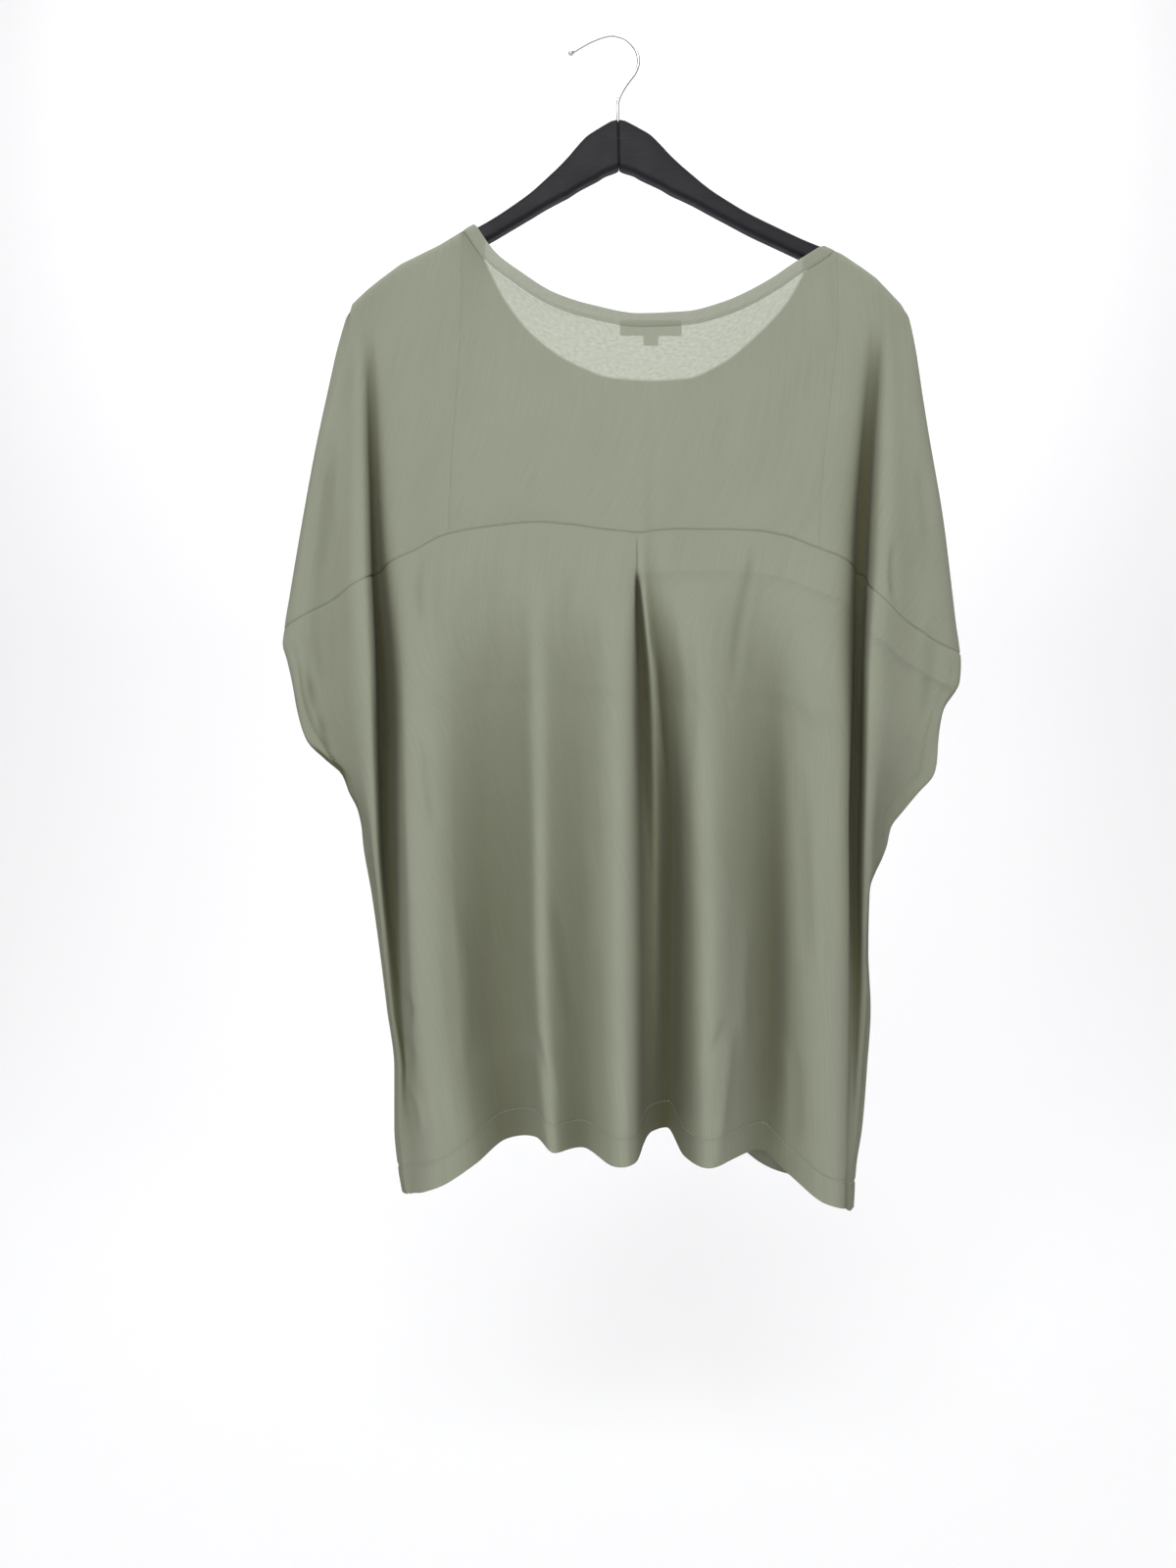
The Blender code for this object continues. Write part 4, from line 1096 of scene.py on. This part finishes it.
def arm_slice(half_height, half_thickness):
    """A rounded rectangle, as y and height, anticlockwise as seen from +X."""
    corner = min(ARM_CORNER, half_height * CORNER_SHARE, half_thickness * CORNER_SHARE)
    points = []
    for y_way, z_way, first in ((1, 1, 0), (-1, 1, 90), (-1, -1, 180), (1, -1, 270)):
        for turn in np.linspace(0, 90, CORNER_TURNS):
            angle = math.radians(first + turn)
            y = y_way * (half_thickness - corner) + corner * math.cos(angle)
            z = z_way * (half_height - corner) + corner * math.sin(angle)
            points.append((y, z))
    return points


def make_arm(name, side, material):
    """One half of the hanger: rounded slices along the arm, from the joint to the tip."""
    rows = np.array(ARM, float)
    given = range(len(rows))
    steps = np.linspace(0, len(rows) - 1, (len(rows) - 1) * ARM_FINENESS + 1)
    fine = np.stack([smooth_through(given, rows[:, k], steps) for k in range(4)], axis=1)
    joint = fine[:1] * [1, 1, 1, JOINT_SHARE] + [0, -JOINT_CHAMFER, JOINT_CHAMFER, 0]
    fine = np.concatenate([joint, fine[1:]])
    points = []
    for distance, top, bottom, half_thickness in fine:
        middle, half = (top + bottom) / 2, (top - bottom) / 2
        for y, z in arm_slice(half, half_thickness):
            x, height = hanger_place(side, distance, middle + z)
            points.append((x, y, height))
    faces = tube_faces(len(fine), len(points) // len(fine))
    piece = add_piece(f"{name}_wood", points, faces, material, sharp=40)
    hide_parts(name)


def make_hook(material):
    """The wire hook: its stem stands in the joint, its free end has a small ball."""
    given = np.array(HOOK_POINTS, float)
    padded = [2 * given[0] - given[1], *given, 2 * given[-1] - given[-2]]
    path = []
    for i in range(len(given) - 1):
        for k in range(HOOK_STEPS):
            path.append(through_four(padded[i:i + 4], k / HOOK_STEPS))
    path.append(given[-1])
    radii = [WIRE] * len(path)
    way = unit(given[-1] - given[-2])
    for turn in range(45, 180, BALL_STEP):
        angle = math.radians(turn)
        path.append(given[-1] + way * BALL * (1 - math.cos(angle)))
        radii.append(BALL * math.sin(angle))
    path = np.array(path)
    along = unit(np.gradient(path, axis=0))
    points = []
    for (x, z), (dx, dz), radius in zip(path, along, radii):
        for k in range(WIRE_SIDES):
            angle = 2 * math.pi * k / WIRE_SIDES
            reach = radius * math.cos(angle)
            points.append((x - dz * reach, radius * math.sin(angle), z + dx * reach))
    faces = tube_faces(len(path), WIRE_SIDES)
    piece = add_piece("hook_wire", points, faces, material, sharp=60)
    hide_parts("hook")


class Graph:
    """The nodes of a material around its one Principled shader."""

    def __init__(self, name, **sockets):
        self.material = bpy.data.materials.new(name)
        self.material.use_nodes = True
        self.tree = self.material.node_tree
        self.shader = self.tree.nodes["Principled BSDF"]
        for key, value in sockets.items():
            self.shader.inputs[key.replace("_", " ")].default_value = value

    def join(self, value, socket):
        """Sets a socket to a number or colour, or links it to another node's output."""
        if isinstance(value, bpy.types.NodeSocket):
            self.tree.links.new(value, socket)
        else:
            socket.default_value = value

    def add(self, kind, inputs, output=0, **settings):
        """A node with the given settings and inputs; returns one of its outputs."""
        node = self.tree.nodes.new(kind)
        for key, value in settings.items():
            setattr(node, key, value)
        for key, value in inputs.items():
            self.join(value, node.inputs[key])
        return node.outputs[output]

    def math(self, operation, a, b=0.0, clamp=False):
        """One arithmetic step on one or two values."""
        return self.add("ShaderNodeMath", {0: a, 1: b}, operation=operation, use_clamp=clamp)

    def scaled(self, value, factor, more, clamp=False):
        """The value times a factor, and more added to it."""
        return self.math("ADD", self.math("MULTIPLY", value, factor), more, clamp)

    def mix(self, share, a, b, **settings):
        """A colour between a and b, or a blended with b in another way."""
        inputs = {0: share, 6: a, 7: b}
        return self.add("ShaderNodeMix", inputs, output=2, data_type="RGBA", **settings)

    def between(self, value, low, high):
        """0 below low, 1 above high, smooth between."""
        inputs = {"Value": value, "From Min": low, "From Max": high}
        return self.add("ShaderNodeMapRange", inputs, interpolation_type="SMOOTHSTEP")

    def attribute(self, name):
        """The number that the mesh's points carry under that name."""
        return self.add("ShaderNodeAttribute", {}, output="Fac", attribute_name=name)

    def lengths(self):
        """The two lengths along the cloth, in millimetres."""
        uv = self.add("ShaderNodeUVMap", {}, uv_map="cloth")
        split = self.tree.nodes.new("ShaderNodeSeparateXYZ")
        self.tree.links.new(uv, split.inputs[0])
        return uv, split.outputs[0], split.outputs[1]

    def cloth_noise(self, uv, across, along, detail=2.0):
        """Noise whose patches have about those sizes in millimetres, across and along the cloth."""
        scale = (1 / across, 1 / along, 1.0)
        place = self.add("ShaderNodeVectorMath", {0: uv, 1: scale}, operation="MULTIPLY")
        return self.speckle(place, 1.0, detail)

    def speckle(self, place, scale, detail):
        """Noise at a place, with patches of about one over the scale."""
        return self.add("ShaderNodeTexNoise", {"Vector": place, "Scale": scale, "Detail": detail})

    def object_place(self):
        """The place on the object, in metres."""
        return self.add("ShaderNodeTexCoord", {}, output="Object")

    def finish(self, colour, roughness=None, height=None, distance=0.0):
        """Joins the shader's colour and, where they are given, its roughness and a fine relief."""
        self.join(colour, self.shader.inputs["Base Color"])
        if roughness is not None:
            self.join(roughness, self.shader.inputs["Roughness"])
        if height is not None:
            inputs = {"Height": height, "Distance": distance, "Strength": 1.0}
            self.join(self.add("ShaderNodeBump", inputs), self.shader.inputs["Normal"])
        return self.material


def knit_height(graph, u, v, wale, course):
    """The height of plain knit: columns of V-shaped loops, a wale wide and a course tall."""
    column = graph.math("FRACT", graph.math("DIVIDE", u, wale))
    lean = graph.math("ABSOLUTE", graph.scaled(column, 2.0, -1.0))
    row = graph.scaled(lean, 0.55, graph.math("DIVIDE", v, course))
    loop = graph.math("SINE", graph.math("MULTIPLY", row, 2 * math.pi))
    rib = graph.math("SINE", graph.math("MULTIPLY", lean, math.pi))
    return graph.scaled(loop, 0.35, rib)


def jersey(name, light, dark, pale, wale=0.9, course=0.75):
    """Thin matt knit: fine loops, long faint streaks, painted shade in the folds' hollows, and painted
    light, paler, where one layer lets light through.
    """
    graph = Graph(name, Roughness=0.88, Sheen_Weight=0.18, Sheen_Roughness=0.5,
                  Sheen_Tint=(0.85, 0.88, 0.76, 1), Specular_IOR_Level=0.25)
    uv, u, v = graph.lengths()
    streaks = graph.cloth_noise(uv, 1.6, 60.0)
    cloud = graph.cloth_noise(uv, 60.0, 80.0)
    grain = graph.cloth_noise(uv, 1.2, 1.4)
    height = knit_height(graph, u, v, wale, course)
    share = graph.scaled(cloud, 0.25, graph.math("MULTIPLY", streaks, 0.45))
    share = graph.scaled(grain, 0.3, share)
    share = graph.scaled(height, 0.06, share, clamp=True)
    colour = graph.mix(share, dark, light)
    # Painted shade: darker and warmer where the folds would shade the cloth, by the openness
    painted_shade = graph.between(graph.attribute("openness"), *PAINTED_SHADE_RANGE)
    shaded_colour = graph.mix(1.0, colour, HOLLOW_SHADE_COLOUR, blend_type="MULTIPLY")
    colour = graph.mix(painted_shade, shaded_colour, colour)
    # Painted light: paler in the crescent where one layer lets light through, mottled, and held back
    # over the label as its painted shadow
    crescent = graph.between(graph.attribute("crescent"), -1.5, 1.5)
    tagged = graph.between(graph.attribute("tagged"), -0.7, 0.7)
    mottle = graph.cloth_noise(uv, 4.5, 2.2, 5.0)
    through = graph.math("MULTIPLY", crescent, graph.scaled(tagged, -0.85, 1.0))
    through = graph.math("MULTIPLY", through, graph.scaled(mottle, 1.1, 0.27))
    colour = graph.mix(through, colour, pale)
    return graph.finish(colour, graph.scaled(grain, 0.12, 0.8), height, 0.00012)


def tape():
    """Smooth woven tape, blank, with a fine twill."""
    graph = Graph("tape_weave", Roughness=0.6, Sheen_Weight=0.1)
    uv, u, v = graph.lengths()
    twill = graph.math("SINE", graph.math("MULTIPLY", graph.math("ADD", u, v), 2 * math.pi / 0.7))
    fleck = graph.cloth_noise(uv, 1.0, 5.0)
    share = graph.scaled(twill, 0.12, fleck, clamp=True)
    return graph.finish(graph.mix(share, *TAPE), height=twill, distance=0.00008)


def thread():
    """Spun sewing thread: a slight twist and unevenness along it."""
    graph = Graph("sewing_thread", Roughness=0.7, Sheen_Weight=0.2)
    fleck = graph.speckle(graph.object_place(), 900.0, 2.0)
    colour, dark = THREAD
    return graph.finish(graph.mix(fleck, dark, colour))


def painted_wood():
    """Black satin paint over wood: a faint grain along the arms, and dust in the roughness."""
    graph = Graph("painted_wood", Roughness=0.5, Specular_IOR_Level=0.14)
    place = graph.object_place()
    stretch = {0: place, 1: (60.0, 700.0, 700.0)}
    grain = graph.speckle(graph.add("ShaderNodeVectorMath", stretch, operation="MULTIPLY"), 1.0, 4.0)
    dust = graph.speckle(place, 45.0, 5.0)
    return graph.finish(graph.mix(grain, *PAINT), graph.scaled(dust, 0.22, 0.38), grain, 0.00006)


def steel():
    """Bright drawn wire with faint scratches along it."""
    graph = Graph("steel_wire", Metallic=1.0, Roughness=0.25)
    scratch = graph.speckle(graph.object_place(), 500.0, 3.0)
    return graph.finish(graph.mix(scratch, *STEEL), graph.scaled(scratch, 0.2, 0.15))


def make_stage():
    """A pale floor that curves up into a pale backdrop, well behind the object."""
    floor, near, back, radius, top, half_width = -1.32, -5.0, 2.6, 1.1, 4.0, 6.0
    turn_step = 5
    profile = [(near, floor), (back - radius, floor)]
    for turn in range(turn_step, 90, turn_step):
        angle = math.radians(turn)
        y = back - radius + radius * math.sin(angle)
        profile.append((y, floor + radius * (1 - math.cos(angle))))
    profile += [(back, floor + radius), (back, top)]
    points = [(x, y, z) for x in (-half_width, half_width) for y, z in profile]
    count = len(profile)
    faces = [(k, k + 1, count + k + 1, count + k) for k in range(count - 1)]
    mesh = bpy.data.meshes.new("stage")
    mesh.from_pydata(points, [], faces)
    mesh.shade_smooth()
    mesh.materials.append(Graph("stage_paper", Roughness=0.9).finish(PAPER))
    stage = bpy.data.objects.new("stage", mesh)
    bpy.context.scene.collection.objects.link(stage)


def area_light(name, place, aim, size, power):
    """A soft square lamp at a place in metres, turned to a point."""
    data = bpy.data.lights.new(name, "AREA")
    data.shape = "SQUARE"
    data.size = size
    data.energy = power
    lamp = bpy.data.objects.new(name, data)
    lamp.location = place
    lamp.rotation_euler = (Vector(aim) - Vector(place)).to_track_quat("-Z", "Y").to_euler()
    bpy.context.scene.collection.objects.link(lamp)


def make_lights():
    """White surroundings, a large soft lamp over the camera, and light on the backdrop."""
    world = bpy.data.worlds.new("studio")
    world.use_nodes = True
    background = world.node_tree.nodes["Background"]
    background.inputs["Color"].default_value = (1.0, 1.0, 1.0, 1)
    background.inputs["Strength"].default_value = WORLD_STRENGTH
    bpy.context.scene.world = world
    for lamp in LAMPS:
        area_light(*lamp)


def make_camera():
    """The photograph's view, level, from in front of the garment's back."""
    data = bpy.data.cameras.new("camera")
    data.sensor_fit = "VERTICAL"
    data.sensor_height = SENSOR
    data.lens = LENS
    camera = bpy.data.objects.new("camera", data)
    camera.location = [value * MM for value in CAMERA]
    camera.rotation_euler = (math.radians(90), 0, 0)
    bpy.context.scene.collection.objects.link(camera)
    bpy.context.scene.camera = camera
    bpy.context.scene.view_settings.view_transform = "Standard"


def make_cloth():
    """All the cloth with its sewing and its tapes."""
    knit = jersey("jersey_knit", *JERSEY)
    rib = jersey("binding_knit", *BINDING, BINDING_WALE)
    sewing = thread()
    back_wall, front_wall = Wall(-1, BACK_FOLDS), Wall(1, FRONT_FOLDS)
    back_neck, front_neck = Neck(BACK_NECK), Neck(FRONT_NECK)
    back_lookup, front_lookup = back_neck.lookup(), front_neck.lookup()
    back_numbers = columns(back_wall, back_lookup)
    front_numbers = columns(front_wall, front_lookup)

    yoke = make_back_yoke(back_wall, back_lookup, back_numbers, knit)
    panel, panel_cloth = make_back_panel(back_wall, back_numbers, knit)
    front, front_cloth = make_front(front_wall, front_lookup, front_numbers, knit)
    back_depths, front_depths = DepthMap(back_wall), DepthMap(front_wall)
    necks = ((back_depths, back_neck), (front_depths, front_neck))
    binding, neck_sewing = make_binding(necks, rib, sewing)

    hem_sewing = []
    for name, cloth in (("back", panel_cloth), ("front", front_cloth)):
        lines = [
            outer_row(cloth, HEM_STITCH_ROW),
            mouth_line(cloth, cloth.from_left(), LEFT_MOUTH),
            mouth_line(cloth, cloth.from_right(), RIGHT_MOUTH),
        ]
        hem_sewing.append(stitch_row(f"{name}_hem_stitches", lines, STITCH, sewing))

    weave = tape()
    for row in LABELS:
        make_label(*row, back_depths, weave)
    return yoke, panel, front, binding, hem_sewing, neck_sewing


def make_hanger(arms):
    """The hanger's two arms, left and right, and its hook."""
    wood = painted_wood()
    for name, side in zip(arms, (-1, 1)):
        make_arm(name, side, wood)
    make_hook(steel())


def main():
    arms = ["hanger_arm_left", "hanger_arm_right"]
    make_camera()
    make_lights()
    make_stage()
    cloth = make_cloth()
    make_hanger(arms)


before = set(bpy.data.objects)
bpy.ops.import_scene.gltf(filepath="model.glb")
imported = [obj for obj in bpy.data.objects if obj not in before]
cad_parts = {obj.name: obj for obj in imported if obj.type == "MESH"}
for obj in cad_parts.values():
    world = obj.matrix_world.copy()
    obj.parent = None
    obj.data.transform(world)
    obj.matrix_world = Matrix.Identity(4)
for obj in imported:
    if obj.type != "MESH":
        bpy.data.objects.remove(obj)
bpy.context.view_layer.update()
main()
